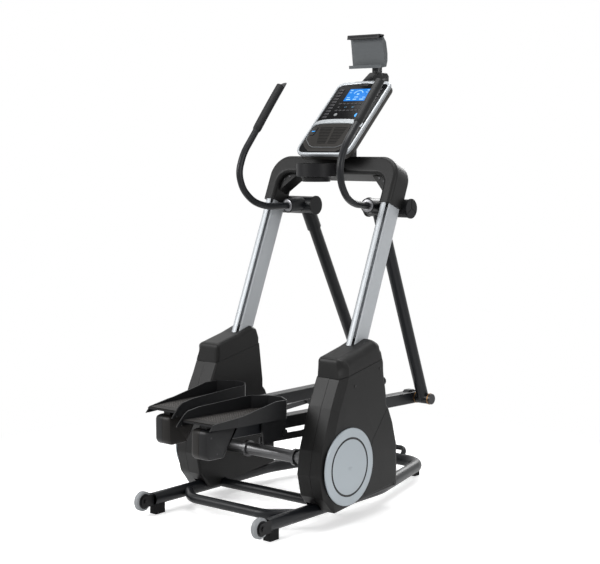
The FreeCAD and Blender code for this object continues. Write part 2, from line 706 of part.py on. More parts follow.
shaft = body("crank_shaft")
ends = "shroud_out - 2"
half_shaft = [("journal", ends), ("journal", "shroud_seam - 60"), ("shaft_radius", "shroud_seam - 60"),
              ("shaft_radius", "132"), ("collar_radius", "132"), ("collar_radius", "118"),
              ("shaft_radius", "118")]
profile = [("0", ends)] + half_shaft
profile += [(radius, f"-1 * ({along})") for radius, along in reversed(half_shaft)] + [("0", f"-1 * ({ends})")]
turn(shaft, profile)
node(place(shaft, "0", "0", "crank_z"))

bearings = []
for name, side in SIDES:
    bearing = body(name + "_crank_bearing")
    start = "plate_in + plate_thick / 2 - bearing_wide / 2"
    turn(bearing, box("journal + running", f"{side} * ({start})", "bearing_radius",
                      f"{side} * ({start} + bearing_wide)"))
    bearings.append(bearing)
node(place(group("crank_bearings", *bearings), "0", "0", "crank_z"))

discs = []
for name, side in SIDES:
    disc = body(name + "_side_disc")
    groove = "disc_radius * 0.74"
    face = "shroud_out + 0.5 + disc_thick"
    steps = [("0", "shroud_out - 2"), ("journal + 5", "shroud_out - 2"), ("journal + 5", "shroud_out + 0.5"),
             ("disc_radius", "shroud_out + 0.5"), ("disc_radius", f"{face} - 2"), ("disc_radius - 4", face),
             (f"{groove} + 4", face), (f"{groove} + 3", f"{face} - 2"), (f"{groove} - 3", f"{face} - 2"),
             (f"{groove} - 4", face), ("0", f"{face} + 1")]
    turn(disc, [(radius, f"{side} * ({along})") for radius, along in steps])
    discs.append(disc)
node(place(group("side_discs", *discs), "0", "0", "crank_z"))

pulley = body("drive_pulley")
turn(pulley, [("journal", "-1 * pulley_in"), ("journal", "-1 * (pulley_in + 2 * pulley_wide)"),
              ("journal + 12", "-1 * (pulley_in + 2 * pulley_wide)"), ("journal + 12", "-1 * (pulley_in + 7)"),
              ("pulley_radius - 8", "-1 * (pulley_in + 7)"), ("pulley_radius - 8", "-1 * (pulley_in + pulley_wide)"),
              ("pulley_radius", "-1 * (pulley_in + pulley_wide)"), ("pulley_radius", "-1 * pulley_in")])
pocket(pulley, "XZ", [("circle", "pulley_radius * 0.56", "0", "16")], "-1 * (pulley_in - 1)",
       "-1 * (pulley_in + pulley_wide)")
pattern = pulley.newObject("PartDesign::PolarPattern", "PolarPattern")
pattern.Originals = [pulley.Tip]
pattern.Axis = (next(f for f in pulley.Origin.OriginFeatures if f.Role == "Y_Axis"), [""])
pattern.Angle = 360
pattern.Occurrences = 6
pulley.Tip = pattern
node(place(pulley, "0", "0", "crank_z"))


def belt_loop(extra):
    """The belt's outline round both pulleys, as a face, with extra added to both radii."""
    large = number("pulley_radius") + extra
    small = number("pinion_radius") + extra
    distance = number("flywheel_x")
    angle = math.acos((large - small) / distance)
    edges = []
    corners = []
    for radius, x, far in ((large, 0, (-1, 0)), (small, distance, (1, 0))):
        upper = FreeCAD.Vector(x + radius * math.cos(angle), 0, radius * math.sin(angle))
        lower = FreeCAD.Vector(upper.x, 0, -upper.z)
        extreme = FreeCAD.Vector(x + far[0] * radius, 0, 0)
        edges.append(Part.Arc(upper, extreme, lower).toShape())
        corners.append((upper, lower))
    (big_upper, big_lower), (small_upper, small_lower) = corners
    edges.append(Part.LineSegment(big_upper, small_upper).toShape())
    edges.append(Part.LineSegment(big_lower, small_lower).toShape())
    return Part.Face(Part.Wire(Part.sortEdges(edges)[0]))


inside = number("belt_gap")
outside = inside + number("belt_thick")
flat = belt_loop(outside).cut(belt_loop(inside))
belt = doc.addObject("Part::Feature", "drive_belt")
belt.Shape = flat.extrude(FreeCAD.Vector(0, -number("pulley_wide") + 2, 0))
node(place(belt, "0", "-1 * (pulley_in + 1)", "crank_z"))

flywheel = body("flywheel")
wheel_end = "-1 * (flywheel_in + flywheel_wide)"
turn(flywheel, [("axle_radius + running", "-1 * pulley_in"), ("axle_radius + running", wheel_end),
                ("26", wheel_end), ("30", "-1 * (flywheel_in + 12)"), ("70", "-1 * (flywheel_in + 12)"),
                ("74", wheel_end), ("flywheel_radius", wheel_end), ("flywheel_radius", "-1 * flywheel_in"),
                ("pinion_radius", "-1 * flywheel_in"), ("pinion_radius", "-1 * pulley_in")])
node(place(flywheel, "flywheel_x", "0", "crank_z"))
axle = rod("flywheel_axle_rod", "axle_radius", "flywheel_in + flywheel_wide + 3 - plate_in",
           ("flywheel_x", "-1 * plate_in", "crank_z"), AXES["Y"] * -1)
node(place(group("flywheel_axle", axle)))

magnet = body("magnet_brake")
cheek_in = "flywheel_in - magnet_gap"
cheek_out = "flywheel_in + flywheel_wide + magnet_gap"
jaw = [("-1 * (plate_in + plate_thick)", "-22"), (f"-1 * ({cheek_out} + 4)", "-22"), (f"-1 * ({cheek_out} + 4)", "24"),
       (f"-1 * ({cheek_out})", "24"), (f"-1 * ({cheek_out})", "-6"), (f"-1 * ({cheek_in})", "-6"),
       (f"-1 * ({cheek_in})", "24"), (f"-1 * ({cheek_in} - 4)", "24"), (f"-1 * ({cheek_in} - 4)", "-12"),
       ("-1 * (plate_in + plate_thick)", "-12")]
pad(magnet, "YZ", [jaw], "-20", "20")
node(place(magnet, "flywheel_x", "0", "crank_z - flywheel_radius"))

inlet = body("power_inlet")
turn(inlet, [("0", "-8"), ("inlet_radius", "-8"), ("inlet_radius", "4"), ("inlet_radius + 8", "4"),
             ("inlet_radius + 8", "13"), ("inlet_radius + 4", "16"), ("0", "16")], "XZ")
node(place(inlet, inlet_x, "-1 * (shroud_out - 25)", "518", 90))

# ---- console ----------------------------------------------------------------------------------

FACE = -number("face_angle")
half_long = "console_long / 2"
half_wide = "console_wide / 2"


def on_face(obj):
    """Console pieces are drawn with X up the face and Z out of it, from the face's middle."""
    return place(obj, "console_x", "0", "console_z", FACE)


# The face bows upwards at its top edge, and its lower corners are rounder than its upper ones.
CONSOLE = [(f"-{half_long}", f"-{half_wide}"), (f"{half_long} - 9", f"-{half_wide}"), (f"{half_long} - 2", "-50"),
           (half_long, "0"), (f"{half_long} - 2", "50"), (f"{half_long} - 9", half_wide), (f"-{half_long}", half_wide)]


def round_corners(plate):
    def at_corner(edge, sense):
        spot = middle(edge)
        return runs_along(edge, "Z") and spot.x * sense > 100 and abs(spot.y) > 100

    round_edges(plate, "52", lambda edge: at_corner(edge, -1))
    round_edges(plate, "34", lambda edge: at_corner(edge, 1))


housing = body("console_housing")
pad(housing, "XY", [CONSOLE], "-console_deep", "-face_thick")
round_corners(housing)
round_edges(housing, "14", lambda edge: middle(edge).z < -number("console_deep") + 0.1)
hollow(housing, "console_wall", lambda face: face.CenterOfMass.z > -number("face_thick") - 0.1)
node(on_face(housing))

face_plate = body("console_face")
pad(face_plate, "XY", [CONSOLE], "-face_thick", "0")
round_corners(face_plate)
screen_box = box("screen_up - screen_long / 2", "-screen_wide / 2", "screen_up + screen_long / 2", "screen_wide / 2")
pocket(face_plate, "XY", [screen_box], "-face_thick - 1", "1")
node(on_face(face_plate))

screen = body("console_screen")
pad(screen, "XY", [screen_box], "-face_thick - 6", "-0.5")
node(on_face(screen))

board = body("circuit_board")
pad(board, "XY", [box("-120", "-90", "130", "90")], "-face_thick - 9", "-face_thick - 7.4")
pad(board, "XY", [("circle", "-60", "-40", "12"), ("circle", "30", "50", "9")], "-face_thick - 16", "-face_thick - 8")
for x in ("-110", "120"):
    for y in ("-80", "80"):
        pad(board, "XY", [("circle", x, y, "4")], "-console_deep + console_wall", "-face_thick - 8")
node(on_face(board))

neck = body("console_neck_uncut")
crossbar_top = "upright_top + arch_rise * cos(lean)"
tilt = "tan(face_angle)"
under = f"console_z - console_deep / cos(face_angle)"
pad(neck, "XZ", [[("416", f"{crossbar_top} - 30"), ("500", f"{crossbar_top} - 30"), ("500", "1440"),
                  ("560", f"{under} + (560 - console_x) * {tilt}"), ("448", f"{under} + (448 - console_x) * {tilt}"),
                  ("416", "1420")]], "-neck_half", "neck_half")
place(neck)
node(cut("console_neck", neck, arch))

tray = body("console_tray_uncut")
turn(tray, [("0", "tray_top - 73"), ("well_radius", "tray_top - 73"), ("well_radius + 2", "tray_top - 56"),
            ("tray_radius", "tray_top - 51"), ("tray_radius", "tray_top"), ("tray_radius - tray_wall", "tray_top"),
            ("tray_radius - tray_wall", "tray_top - 48"), ("well_radius - tray_wall + 2", "tray_top - 53"),
            ("well_radius - tray_wall", "tray_top - 70"), ("0", "tray_top - 70")], "XZ", "V_Axis")
pad(tray, "XZ", [box("tray_radius - 1.5", "tray_top - 47", "hub_x - tray_x - 62", "tray_top - 17")], "-34", "34")
place(tray, "tray_x")
node(cut("console_tray", tray, arch))

TABLET = number("tablet_lean")
plate_end = "tablet_tall"
tablet_half = "tablet_wide / 2"
back = body("tablet_back")
pad(back, "XZ", [[("0", "0"), ("12", "0"), ("24", "24"), ("28", "56"), ("24", f"{plate_end} - 24"),
                  ("tablet_thick", plate_end), ("0", plate_end)]], f"-{tablet_half}", tablet_half)
pad(back, "XZ", [[("0", "0"), ("0", "5"), ("-24", "5"), ("-24", "13"), ("-28", "13"), ("-28", "0")]],
    f"-{tablet_half}", tablet_half)
pocket(back, "XZ", [box("2", "30", "tablet_thick - 2", f"{plate_end} + 1")], "-18", "18")
node(place(back, "tablet_x", "0", "tablet_low", TABLET))

# The stand's hood sits on the console's upper rear edge and carries a collared post.
hood = body("tablet_hood")
pad(hood, "XZ", [[("610", "1706"), ("624", "1716"), ("676", "1748"), ("736", "1748"), ("748", "1736"), ("748", "1722"),
                  ("706", "1688"), ("650", "1660"), ("610", "1660")]], "-26", "26")
round_edges(hood, "8", lambda edge: runs_along(edge, "Y") and middle(edge).z > number("console_z") + 170)
place(hood)
collar = rod("tablet_collar", "25", "10", ("post_x", "0", "1744"))
post = rod("tablet_post", "post_radius", "82", ("post_x", "0", "1744"))
link = rod("tablet_link", "12", "post_x - tablet_x - 10", ("tablet_x + 10", "0", "1812"), AXES["X"])
post_parts = place(fuse("tablet_post_parts", collar, post, link))
console_room = body("console_room")
pad(console_room, "XY", [CONSOLE], "-console_deep", "0")
on_face(console_room)
stand_uncut = fuse("tablet_stand_uncut", hood, post_parts)
node(cut("tablet_stand", stand_uncut, console_room, back))

jaw = body("tablet_jaw")
pad(jaw, "XZ", [box("2.3", "60", "tablet_thick - 2.3", f"{plate_end} + 0.5")], "-17.7", "17.7")
jaw_top = f"{plate_end} + 0.5"
pad(jaw, "XZ", [[("tablet_thick", jaw_top), ("tablet_thick", f"{jaw_top} + 8"), ("-24", f"{jaw_top} + 8"),
                 ("-24", f"{jaw_top} - 6"), ("-20", f"{jaw_top} - 6"), ("-20", jaw_top)]], "-70", "70")
node(place(jaw, "tablet_x", "0", "tablet_low", TABLET))

# ---- swing arms -------------------------------------------------------------------------------

# The handle's route beside the arm axis, with the leg hanging straight down: X, outward, Z.
HANDLE = [(-20, 199, 16), (-86, 208, 46), (-190, 227, 100), (-243, 239, 152), (-267, 249, 224),
          (-252, 254, 294), (-191, 252, 351), (-89, 247, 395), (17, 242, 444), (131, 236, 494)]
GRIP_FROM = 7
HORN = (176, 236, 490)


def handle_points(side):
    return [FreeCAD.Vector(x, side * y, z) for x, y, z in HANDLE]


def arm_angle(name):
    return number(name + "_angle")


def at_hub(obj, name):
    return place(obj, "hub_x", "0", "hub_z", -arm_angle(name))


def at_pivot(obj, name, ahead="0", y="0", up="0"):
    """Place something on a beam: ahead of the lower pivot and above the beam's axis."""
    x = f"hub_x + leg_long * sin({name}_angle)"
    z = f"hub_z - leg_long * cos({name}_angle)"
    slope = f"{name}_slope"
    return place(obj, f"{x} + ({ahead}) * cos({slope}) + ({up}) * sin({slope})", y,
                 f"{z} - ({ahead}) * sin({slope}) + ({up}) * cos({slope})", number(slope))


for name, side in SIDES:
    out = AXES["Y"] * side
    points = handle_points(side)
    radii = bend_radii(points)
    barrel = rod(name + "_barrel", "hub_radius", "hub_out - hub_in", ("0", f"{side} * hub_in", "0"), out)
    boot = rod(name + "_boot", "boot_radius", "boot_end", ("0", f"{side} * leg_y", "0"), AXES["Z"] * -1)
    toward = (points[1] - points[0]).normalize()
    sleeve = doc.addObject("Part::Cylinder", name + "_sleeve")
    sleeve.setExpression("Radius", "size.boot_radius")
    sleeve.Height = (points[1] - points[0]).Length + 6
    sleeve.Placement = FreeCAD.Placement(points[0], FreeCAD.Rotation(AXES["Z"], toward))
    seat = ("0", f"{side} * leg_y", "-1 * leg_seat")
    leg_room = rod(name + "_leg_room", "leg_radius", "boot_end", seat, AXES["Z"] * -1)
    axle_room = rod(name + "_axle_room", "arm_axle + running", "bracket_out", ("0", "0", "0"), out)
    bar_route = [points[0] + toward * 30] + points[1:-1] + [points[-1] - (points[-1] - points[-2]).normalize() * 8]
    bar_room = bent_pipe(name + "_bar_room", bar_route, radii, "bar_radius", "bar_radius")
    hub = cut(name + "_arm_hub", fuse(name + "_hub_uncut", barrel, boot, sleeve), leg_room, axle_room, bar_room)
    node(at_hub(hub, name))

    tube = pipe(name + "_leg_stock", "leg_radius", "leg_wall", "leg_long - leg_seat", seat, AXES["Z"] * -1)
    inner_end = "beam_y + beam_side / 2 + washer_thick + washer_gap"
    pivot_seat = ("0", f"{side} * ({inner_end})", "-1 * leg_long")
    pivot_tube = rod(name + "_pivot_tube", "pivot_radius", "pivot_long", pivot_seat, out)
    pin_room = rod(name + "_pin_room", "pin_radius + running", "400", ("0", "0", "-1 * leg_long"), out)
    leg = cut(name + "_leg_tube", fuse(name + "_leg_uncut", tube, pivot_tube), pin_room)
    node(at_hub(leg, name))

    node(at_hub(bent_pipe(name + "_handle_tube", bar_route, radii, "bar_radius", "bar_wall"), name))
    grip_start = points[GRIP_FROM] + (points[GRIP_FROM + 1] - points[GRIP_FROM]) * 0.1
    grip_route = [grip_start] + points[GRIP_FROM + 1:]
    grip_outer = bent_pipe(name + "_grip_outer", grip_route, radii[GRIP_FROM:], "grip_radius", "grip_radius")
    tip = FreeCAD.Vector(HORN[0], side * HORN[1], HORN[2])
    horn = doc.addObject("Part::Cone", name + "_grip_horn")
    horn.setExpression("Radius1", "size.grip_radius - 3")
    horn.setExpression("Radius2", "size.grip_radius / 3")
    horn_start = points[-1] - (points[-1] - points[-2]).normalize() * 12
    horn.Height = (tip - horn_start).Length
    horn.Placement = FreeCAD.Placement(horn_start, FreeCAD.Rotation(AXES["Z"], tip - horn_start))
    bar_core = bent_pipe(name + "_grip_core", [grip_start] + bar_route[GRIP_FROM + 1:], radii[GRIP_FROM:],
                         "bar_radius + grip_gap", "bar_radius + grip_gap")
    node(at_hub(cut(name + "_grip", fuse(name + "_grip_stock", grip_outer, horn), bar_core), name))

    pin = body(name + "_pivot_pin")
    far_end = f"{inner_end} + pivot_long + washer_gap + washer_thick"
    steps = [("0", "beam_y - 20"), ("pin_radius", "beam_y - 20"), ("pin_radius", far_end),
             ("pivot_radius", far_end), ("pivot_radius", f"{far_end} + pivot_cap - 2"),
             ("pivot_radius - 2", f"{far_end} + pivot_cap"), ("0", f"{far_end} + pivot_cap")]
    turn(pin, [(radius, f"{side} * ({along})") for radius, along in steps])
    at_pivot(pin, name)
    pins = [pin]

    washers = []
    for start in ("beam_y + beam_side / 2", f"{inner_end} + pivot_long + washer_gap"):
        ring = body(name + "_washer")
        turn(ring, box("pin_radius", f"{side} * ({start})", "pivot_radius + 1.5", f"{side} * ({start} + washer_thick)"))
        washers.append(ring)
    node(at_pivot(group(name + "_pivot_washers", *washers), name))

    half = "beam_side / 2"
    beam = body(name + "_beam")
    pad(beam, "YZ", [box(f"{side} * (beam_y - {half})", f"-{half}", f"{side} * (beam_y + {half})", half)],
        "-1 * beam_rear", "beam_front")
    round_edges(beam, "5", lambda edge: runs_along(edge, "X"))
    pocket(beam, "YZ", [box(f"{side} * (beam_y - {half} + beam_wall)", f"-{half} + beam_wall",
                            f"{side} * (beam_y + {half} - beam_wall)", f"{half} - beam_wall")],
           "-1 * beam_rear - 1", "beam_front - beam_wall")
    gusset = [("-500", f"-{half}"), ("-470", "-1 * tie_front_z - 14"), ("-1 * tie_front_x + 10", "-1 * tie_front_z - 14"),
              ("-350", f"-{half}")]
    gusset_span = (f"{side} * (tie_in - 9)", f"{side} * (tie_in - 1)")
    pad(beam, "XZ", [gusset], *gusset_span)
    lug = [("-54", half), ("-40", f"{half} + 9"), ("-6", f"{half} + 9"), ("8", half)]
    pad(beam, "XZ", [lug], f"{side} * (beam_y - 14)", f"{side} * (beam_y + 14)")
    ear_span = (f"{side} * (beam_y + {half})", f"{side} * (beam_y + {half} + 8)")
    ear = [("-1 * pedal_pivot_x - 22", "0"), ("-1 * pedal_pivot_x - 14", "-1 * pedal_pivot_z - 14"),
           ("-1 * pedal_pivot_x + 14", "-1 * pedal_pivot_z - 14"), ("-1 * pedal_pivot_x + 22", "0")]
    pad(beam, "XZ", [ear], *ear_span)
    pocket(beam, "XZ", [("circle", "0", "0", "pin_radius")], f"{side} * (beam_y - 10)", f"{side} * 400")
    pocket(beam, "XZ", [("circle", "-1 * tie_front_x", "-1 * tie_front_z", "tie_pin")],
           f"{side} * (tie_in - 12)", f"{side} * (tie_in + 20)")
    bolt_hole = ("circle", "-1 * pedal_pivot_x", "-1 * pedal_pivot_z", "pedal_bolt")
    pocket(beam, "XZ", [bolt_hole], ear_span[0], f"{side} * (beam_y + {half} + 30)")
    node(at_pivot(beam, name))

    # The tie bar turns on a stud in the gusset; its rear eye is slotted round the pedal's stud.
    tie = body(name + "_tie_bar")
    tie_span = (f"{side} * tie_in", f"{side} * (tie_in + tie_thick)")
    bar_shape = [("-1 * tie_front_x + 12", "-1 * tie_front_z + 8"), ("-1 * tie_front_x + 12", "-1 * tie_front_z - 8"),
                 ("-790", "-1 * tie_rear_z - 17"), ("-1 * tie_rear_x - 14", "-1 * tie_rear_z - 13"),
                 ("-1 * tie_rear_x - 14", "-1 * tie_rear_z + 13"), ("-790", "-1 * tie_rear_z + 8")]
    pad(tie, "XZ", [bar_shape], *tie_span)
    pocket(tie, "XZ", [("circle", "-1 * tie_front_x", "-1 * tie_front_z", "tie_pin + running")], *tie_span)
    slot = box("-1 * tie_rear_x - 8", "-1 * tie_rear_z - 8", "-1 * tie_rear_x + 8", "-1 * tie_rear_z + 8")
    pocket(tie, "XZ", [slot], *tie_span)
    node(at_pivot(tie, name))

    pod = body(name + "_pod_shell")
    pod_outline = [("-1 * pod_rear", "pod_top"), ("-1 * pod_rear", "-1 * pod_low + 14"),
                   ("-1 * pod_rear + 12", "-1 * pod_low"), ("-1 * pod_rear + pod_cut", "-1 * pod_low"),
                   ("-1 * pod_rear + pod_long", "pod_top")]
    pad(pod, "XZ", [pod_outline], f"{side} * (pod_y - pod_wide / 2)", f"{side} * (pod_y + pod_wide / 2)")
    rear = -number("pod_rear")
    round_edges(pod, "10", lambda edge: runs_along(edge, "Z") and middle(edge).x < rear + 1)
    top = number("pod_top")
    round_edges(pod, "6", lambda edge: abs(middle(edge).z - top) < 0.01 and middle(edge).x < rear + 140)
    hollow(pod, "pod_wall", lambda face: face.CenterOfMass.x > rear + 90 and abs(face.normalAt(0, 0).x) > 0.5)
    room = block(name + "_pod_room", ("400", "beam_side + 0.2", "beam_side + 0.2"),
                 ("-1 * beam_rear", f"{side} * beam_y - {half} - 0.1", f"-{half} - 0.1"))
    node(at_pivot(cut(name + "_pod_cover", pod, room), name))

    pedal = body(name + "_pedal")
    front = "-1 * pedal_rear + pedal_long"
    back_edge = "-1 * pedal_rear"
    toe = [(back_edge, f"{side} * pedal_in"), (f"{front} - 60", f"{side} * pedal_in"),
           (f"{front} - 8", f"{side} * (pedal_in + 44)"), (front, f"{side} * (pedal_in + 80)"),
           (front, f"{side} * (pedal_out - 64)"), (f"{front} - 44", f"{side} * pedal_out"),
           (f"{back_edge} + 120", f"{side} * pedal_out"), (back_edge, f"{side} * (pedal_out - 14)")]
    pad(pedal, "XY", [toe], "pedal_skirt", "pedal_wall")
    round_edges(pedal, "18", lambda edge: runs_along(edge, "Z") and middle(edge).x > number(front) - 70)
    wall = "pedal_thick"
    inside = [(f"{back_edge} - 1", f"{side} * (pedal_in + {wall})"), (f"{front} - 63", f"{side} * (pedal_in + {wall})"),
              (f"{front} - 13", f"{side} * (pedal_in + 48)"), (f"{front} - {wall}", f"{side} * (pedal_in + 82)"),
              (f"{front} - {wall}", f"{side} * (pedal_out - 66)"), (f"{front} - 47", f"{side} * (pedal_out - {wall})"),
              (f"{back_edge} + 120", f"{side} * (pedal_out - {wall})"),
              (f"{back_edge} - 1", f"{side} * (pedal_out - 14 - {wall})")]
    pocket(pedal, "XY", [inside], "pedal_floor + pedal_thick", "pedal_wall + 1")
    pocket(pedal, "XY", [inside], "pedal_skirt - 1", "pedal_floor")
    split = f"{side} * (pedal_in + 90)"
    outer_cut = [(f"{back_edge} - 1", "pedal_floor + pedal_thick"), (f"{back_edge} + 10", "pedal_floor + 9"),
                 (f"{back_edge} + 150", "pedal_floor + 24"), (f"{back_edge} + 330", "pedal_wall"),
                 (f"{back_edge} + 330", "pedal_wall + 9"), (f"{back_edge} - 1", "pedal_wall + 9")]
    pocket(pedal, "XZ", [outer_cut], split, f"{side} * (pedal_out + 5)")
    inner_cut = [(f"{back_edge} - 1", "pedal_floor + 14"), (f"{back_edge} + 11", "pedal_floor + 26"),
                 (f"{back_edge} + 30", "pedal_floor + 37"), (f"{back_edge} + 85", "pedal_floor + 46"),
                 (f"{back_edge} + 330", "pedal_wall"),
                 (f"{back_edge} + 330", "pedal_wall + 9"), (f"{back_edge} - 1", "pedal_wall + 9")]
    pocket(pedal, "XZ", [inner_cut], f"{side} * (pedal_in - 5)", split)
    pad(pedal, "XY", [box(f"{back_edge} + 30", f"{side} * (pod_y - 16)", f"{back_edge} + 90", f"{side} * (pod_y + 16)")],
        "pod_top + seat_gap", "pedal_floor")
    fin = [(f"{back_edge} - 28", "pedal_floor - 13"), (f"{back_edge} - 24", "pedal_floor - 16"),
           (f"{back_edge} + 2", "pedal_floor - 8"), (f"{back_edge} + 2", "pedal_floor + 17")]
    pad(pedal, "XZ", [fin], f"{side} * pedal_in", f"{side} * (pedal_in + {wall})")
    heel = [(f"{back_edge} - 14", "pedal_floor - 14"), (f"{back_edge} + 2", "pedal_floor - 12"),
            (f"{back_edge} + 2", "pedal_floor + 2")]
    pad(pedal, "XZ", [heel], f"{side} * (pedal_out - 14 - {wall})", f"{side} * (pedal_out - 14)")
    ear_low = "-1 * tie_rear_z - 14"
    plate_span = (f"{side} * (beam_y + {half} + 8.5)", f"{side} * (beam_y + {half} + 16.5)")
    bracket = [("-1 * tie_rear_x - 30", "pedal_floor"), ("-1 * tie_rear_x - 16", ear_low), ("-1 * tie_rear_x + 16", ear_low),
               ("-1 * pedal_pivot_x + 14", "-1 * pedal_pivot_z - 14"), ("-1 * pedal_pivot_x - 4", "pedal_floor")]
    pad(pedal, "XZ", [bracket], *plate_span)
    pocket(pedal, "XZ", [("circle", "-1 * pedal_pivot_x", "-1 * pedal_pivot_z", "pedal_bolt + running")], *plate_span)
    pad(pedal, "XZ", [("circle", "-1 * tie_rear_x", "-1 * tie_rear_z", "tie_pin")],
        f"{side} * (tie_in + 1)", f"{side} * (beam_y + {half} + 9)")
    node(at_pivot(pedal, name))

    tread = body(name + "_tread")
    gap = "(tread_gap + pedal_thick)"
    sole = [(f"{back_edge} + 4", f"{side} * (pedal_in + {gap})"), (f"{front} - 68", f"{side} * (pedal_in + {gap})"),
            (f"{front} - 18", f"{side} * (pedal_in + 52)"), (f"{front} - {gap}", f"{side} * (pedal_in + 86)"),
            (f"{front} - {gap}", f"{side} * (pedal_out - 70)"), (f"{front} - 52", f"{side} * (pedal_out - {gap})"),
            (f"{back_edge} + 124", f"{side} * (pedal_out - {gap})"),
            (f"{back_edge} + 4", f"{side} * (pedal_out - 15 - {gap})")]
    pad(tread, "XY", [sole], "pedal_floor + pedal_thick", "pedal_floor + pedal_thick + tread_thick")
    node(at_pivot(tread, name))

    shank = rod(name + "_bolt_shank", "pedal_bolt", "24", ("0", f"{side} * (beam_y + {half})", "0"), out)
    head = rod(name + "_bolt_head", "pedal_bolt + 7", "6", ("0", f"{side} * (beam_y + {half} + 17)", "0"), out)
    bolt = fuse(name + "_pedal_bolt", shank, head)
    pins.append(at_pivot(bolt, name, "-1 * pedal_pivot_x", "0", "-1 * pedal_pivot_z"))
    stud = rod(name + "_tie_stud", "tie_pin", "16", ("0", f"{side} * (tie_in - 9)", "0"), out)
    stud_head = rod(name + "_tie_head", "tie_pin + 4", "4", ("0", f"{side} * (tie_in + tie_thick + 0.5)", "0"), out)
    tie_stud = fuse(name + "_tie_pin", stud, stud_head)
    pins.append(at_pivot(tie_stud, name, "-1 * tie_front_x", "0", "-1 * tie_front_z"))
    node(group(name + "_pivot_pins", *pins))

# ---- checks and export ------------------------------------------------------------------------

doc.recompute()
FAILED = [obj for obj in doc.Objects if "Invalid" in obj.State or "Error" in obj.State]
if FAILED:
    owners = [getattr(obj.getParentGeoFeatureGroup(), "Label", "") for obj in FAILED]
    raise RuntimeError(", ".join(f"{owner}/{obj.Label}" for owner, obj in zip(owners, FAILED)))
EXPORTS = {}
for obj in NODES:
    label = obj.Label
    if obj.Shape.isNull() or not obj.Shape.isValid():
        raise RuntimeError(f"{label} has no valid shape")
    if label in EXPORTS:
        raise RuntimeError(f"{label} is used twice")
    EXPORTS[label] = obj
for label, obj in EXPORTS.items():
    obj.Shape.exportStep(f"parts/{label}.step")
print(len(EXPORTS), "nodes")
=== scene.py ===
"""Looks of the elliptical trainer: finishes, mouldings and console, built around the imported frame."""
import math

import bmesh
import bpy
from mathutils import Matrix, Vector


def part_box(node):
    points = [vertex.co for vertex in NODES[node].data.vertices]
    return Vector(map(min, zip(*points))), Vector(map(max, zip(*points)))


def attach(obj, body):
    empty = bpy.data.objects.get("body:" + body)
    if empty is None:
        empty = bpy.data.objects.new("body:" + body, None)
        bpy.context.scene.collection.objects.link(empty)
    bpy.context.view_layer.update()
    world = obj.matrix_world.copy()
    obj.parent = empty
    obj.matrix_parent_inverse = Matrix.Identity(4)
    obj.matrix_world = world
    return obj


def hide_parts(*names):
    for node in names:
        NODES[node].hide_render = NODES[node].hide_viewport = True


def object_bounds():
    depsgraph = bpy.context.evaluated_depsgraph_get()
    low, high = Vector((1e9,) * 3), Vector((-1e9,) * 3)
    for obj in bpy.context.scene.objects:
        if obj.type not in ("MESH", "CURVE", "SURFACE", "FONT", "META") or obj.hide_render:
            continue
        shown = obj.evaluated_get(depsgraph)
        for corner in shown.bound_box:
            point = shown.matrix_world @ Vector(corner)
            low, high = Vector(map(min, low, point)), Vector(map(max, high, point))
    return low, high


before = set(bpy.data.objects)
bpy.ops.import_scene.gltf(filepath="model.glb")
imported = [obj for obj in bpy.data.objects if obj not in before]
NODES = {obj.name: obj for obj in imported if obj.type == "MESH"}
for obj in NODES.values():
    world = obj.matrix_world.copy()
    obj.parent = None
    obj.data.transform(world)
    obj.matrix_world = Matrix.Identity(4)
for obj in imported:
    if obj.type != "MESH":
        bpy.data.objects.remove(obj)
cad_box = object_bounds()

# ---- Camera, studio and floor ------------------------------------------------------------------
# A long lens at chest height looks down a little at the machine from behind its right side.
# The floor and the air behind it are white, and the lamps are large and soft.
scene = bpy.context.scene
scene.view_settings.view_transform = "Standard"
camera = bpy.data.objects.new("camera", bpy.data.cameras.new("camera"))
scene.collection.objects.link(camera)
camera.location = (-4.2594, -3.5185, 1.4555)
camera.rotation_euler = (math.radians(84.2), 0, math.radians(-50.6))
camera.data.sensor_width = 36
camera.data.lens = 82.73
camera.data.clip_end = 60
scene.camera = camera


def lamp(name, place, aim, size, power):
    light = bpy.data.lights.new(name, "AREA")
    light.shape = "RECTANGLE"
    light.size, light.size_y = size
    light.energy = power
    holder = bpy.data.objects.new(name, light)
    holder.location = place
    holder.rotation_euler = (Vector(aim) - Vector(place)).to_track_quat("-Z", "Y").to_euler()
    scene.collection.objects.link(holder)


lamp("key_left", (-4.2, 2.6, 3.2), (0, 0, 0.8), (2.2, 2.2), 190)
lamp("fill_right", (-1.0, -5.0, 2.2), (0, 0, 0.8), (2.4, 2.4), 75)
lamp("top", (0.3, 0.2, 4.4), (0, 0, 0), (2.6, 2.6), 120)
lamp("rim_front", (4.0, 1.0, 2.6), (0, 0, 1.0), (1.6, 2.2), 70)


def add_node(tree, kind, values=(), **settings):
    """A shader node with its settings, and with values for its inputs by name or number."""
    item = tree.nodes.new(kind)
    for key, value in settings.items():
        setattr(item, key, value)
    for key, value in dict(values).items():
        item.inputs[key].default_value = value
    return item


def shown_behind(tree, kinds):
    """1 for the rays that see the white studio itself, and 0 for the light that falls on the machine."""
    rays = add_node(tree, "ShaderNodeLightPath")
    total = rays.outputs[kinds[0]]
    for kind in kinds[1:]:
        either = add_node(tree, "ShaderNodeMath", operation="MAXIMUM")
        tree.links.new(total, either.inputs[0])
        tree.links.new(rays.outputs[kind], either.inputs[1])
        total = either.outputs[0]
    return total


